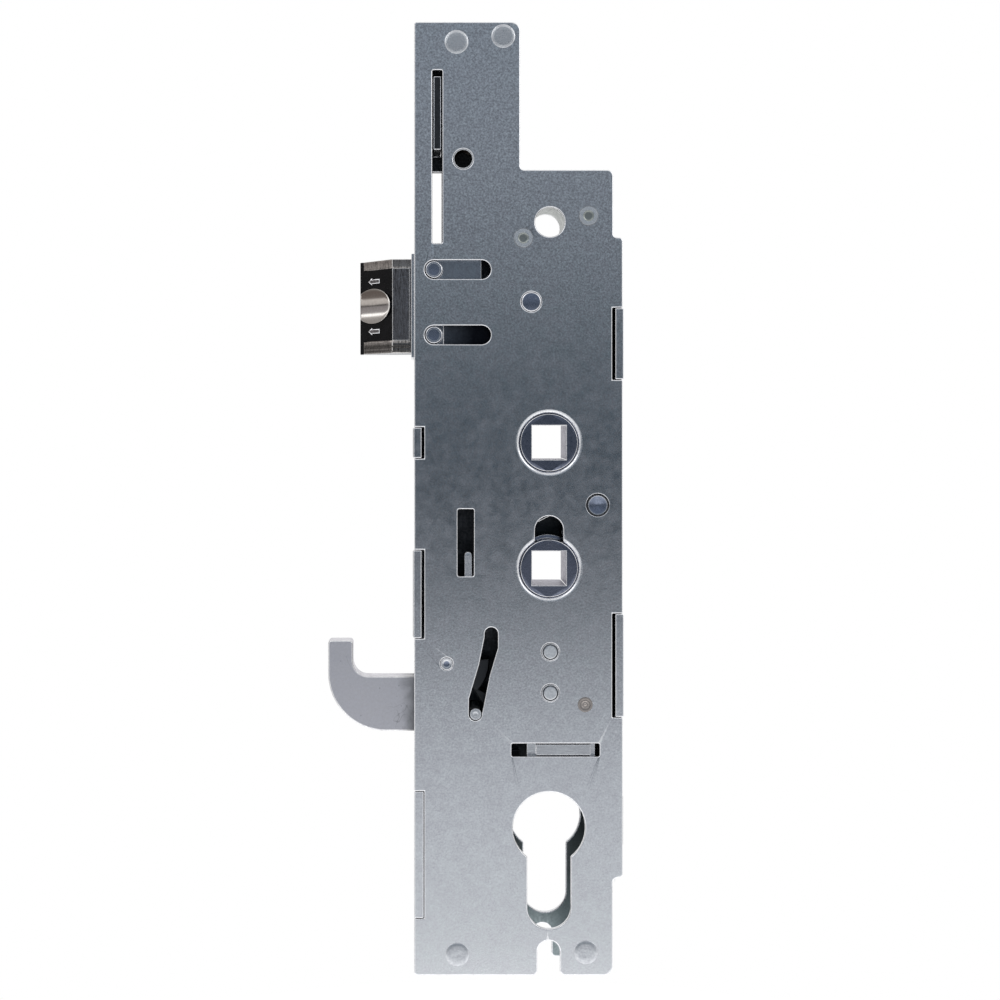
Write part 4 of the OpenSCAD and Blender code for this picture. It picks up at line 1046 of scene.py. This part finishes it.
class LOCK_OT_stage(bpy.types.Operator):
    """Sets the camera, the soft light, the white surroundings and the floor"""

    bl_idname = "lock_case.stage"
    bl_label = "Set the stage"

    def execute(self, context):
        s = context.scene.lock_stage
        context.scene.view_settings.view_transform = "Standard"
        self.surroundings(context.scene)
        self.floor(s)
        self.lamps(s)
        lens = bpy.data.cameras.new("camera")
        lens.sensor_width, lens.lens = 36.0, s.lens
        lens.shift_x, lens.shift_y = s.shift
        lens.clip_start = 0.01
        camera = add_object("camera", lens)
        camera.location = s.camera_place
        camera.rotation_euler = (math.radians(90), 0, 0)
        context.scene.camera = camera
        return {"FINISHED"}

    def surroundings(self, scene):
        """White all round, with a dim blue-grey panel before the lock that brightens downwards
        and a dim warm one at the left, which only reflections and soft light see."""
        world = bpy.data.worlds.new("studio")
        scene.world = world
        tree = bare_tree(world)
        x, y, z = add_node(tree, "ShaderNodeSeparateXYZ", {
            "Vector": coordinates(tree, "Generated")}).outputs
        flat = math_node(tree, "MAXIMUM", math_node(tree, "SQRT", math_node(
            tree, "ADD", times(tree, x, x), times(tree, y, y))), 0.001)
        ahead, leftward = (math_node(tree, "DIVIDE", times(tree, part, -1.0), flat)
                           for part in (y, x))
        in_front = spread(tree, ahead, 0.55, 0.86, kind="SMOOTHSTEP")
        at_left = times(tree, spread(tree, leftward, 0.45, 0.75, kind="SMOOTHSTEP"),
                        spread(tree, ahead, -0.02, -0.2, kind="SMOOTHSTEP"))
        color = mix_color(tree, at_left, WHITE, color_ramp(tree, z, -1.0, 1.0, SIDE_STOPS))
        color = mix_color(tree, in_front, color, color_ramp(tree, z, -0.4, 0.65, FRONT_STOPS))
        seen = tree.nodes.new("ShaderNodeLightPath").outputs["Is Camera Ray"]
        color = mix_color(tree, seen, color, WHITE)
        light = add_node(tree, "ShaderNodeBackground", {"Color": color, "Strength": 1.0})
        add_node(tree, "ShaderNodeOutputWorld", {"Surface": light.outputs[0]})

    def floor(self, s):
        """A flat disc: rings of points at even steps of radius and angle."""
        rings, steps = 8, 64
        a = angles(steps)
        r = np.linspace(0.02, 1.0, rings)[:, None] * s.floor_radius
        points = np.stack([r * np.cos(a), r * np.sin(a), np.full((rings, steps), s.floor_z)],
                          axis=-1).reshape(-1, 3)
        mesh = bpy.data.meshes.new("floor")
        mesh.from_pydata(points.tolist(), [], [
            *ring_faces(rings, steps).tolist(), list(range(steps))])
        material = bpy.data.materials.new("pale floor")
        tree = bare_tree(material)
        tone = mix_color(tree, noise(tree, coordinates(tree), 90.0), (0.78, 0.78, 0.79),
                         (0.84, 0.84, 0.85))
        paint = add_node(tree, "ShaderNodeBsdfDiffuse", {"Color": tone})
        path = tree.nodes.new("ShaderNodeLightPath").outputs
        seen = math_node(tree, "MAXIMUM", path["Is Camera Ray"], math_node(
            tree, "MAXIMUM", path["Is Glossy Ray"], path["Is Transmission Ray"]))
        glow = add_node(tree, "ShaderNodeEmission", {
            "Color": (*WHITE, 1.0), "Strength": times(tree, seen, 0.55)})
        both = add_node(tree, "ShaderNodeAddShader", {0: paint.outputs[0], 1: glow.outputs[0]})
        add_node(tree, "ShaderNodeOutputMaterial", {"Surface": both.outputs[0]})
        mesh.materials.append(material)
        floor = add_object("floor", mesh)

    def lamps(self, s):
        for name, place, turn, size in (
                ("lamp_left", (-0.55, -0.45, 0.62), (48, 0, -50), 0.5),
                ("lamp_right", (0.60, -0.35, 0.45), (58, 0, 58), 0.5)):
            light = bpy.data.lights.new(name, "AREA")
            light.energy, light.size = s.lamp_power, size
            lamp = add_object(name, light)
            lamp.location = place
            lamp.rotation_euler = [math.radians(a) for a in turn]


class LOCK_PT_panel(bpy.types.Panel):
    """Lists the lock's settings and the buttons that build it"""

    bl_label = "Lock case"
    bl_idname = "LOCK_PT_panel"
    bl_space_type = "VIEW_3D"
    bl_region_type = "UI"
    bl_category = "Lock case"

    def draw(self, context):
        for settings in (context.scene.lock_finish, context.scene.lock_detail,
                         context.scene.lock_stage):
            box = self.layout.box()
            for key in settings.bl_rna.properties.keys():
                if key not in ("rna_type", "name"):
                    box.prop(settings, key)
        for operator in OPERATORS:
            self.layout.operator(operator.bl_idname)


OPERATORS = (LOCK_OT_plates, LOCK_OT_works, LOCK_OT_hook, LOCK_OT_rivets, LOCK_OT_springs,
             LOCK_OT_tapped_bush, LOCK_OT_latch, LOCK_OT_stage)
CLASSES = (LOCK_PG_finish, LOCK_PG_detail, LOCK_PG_stage, *OPERATORS, LOCK_PT_panel)


def register():
    for cls in CLASSES:
        bpy.utils.register_class(cls)
    bpy.types.Scene.lock_finish = bpy.props.PointerProperty(type=LOCK_PG_finish)
    bpy.types.Scene.lock_detail = bpy.props.PointerProperty(type=LOCK_PG_detail)
    bpy.types.Scene.lock_stage = bpy.props.PointerProperty(type=LOCK_PG_stage)


def unregister():
    del bpy.types.Scene.lock_finish, bpy.types.Scene.lock_detail, bpy.types.Scene.lock_stage
    for cls in reversed(CLASSES):
        bpy.utils.unregister_class(cls)


def main():
    register()
    bpy.ops.lock_case.plates()
    bpy.ops.lock_case.works()
    bpy.ops.lock_case.hook()
    bpy.ops.lock_case.rivets()
    bpy.ops.lock_case.springs()
    bpy.ops.lock_case.tapped_bush()
    bpy.ops.lock_case.latch()
    bpy.ops.lock_case.stage()


if __name__ == "__main__":
    main()
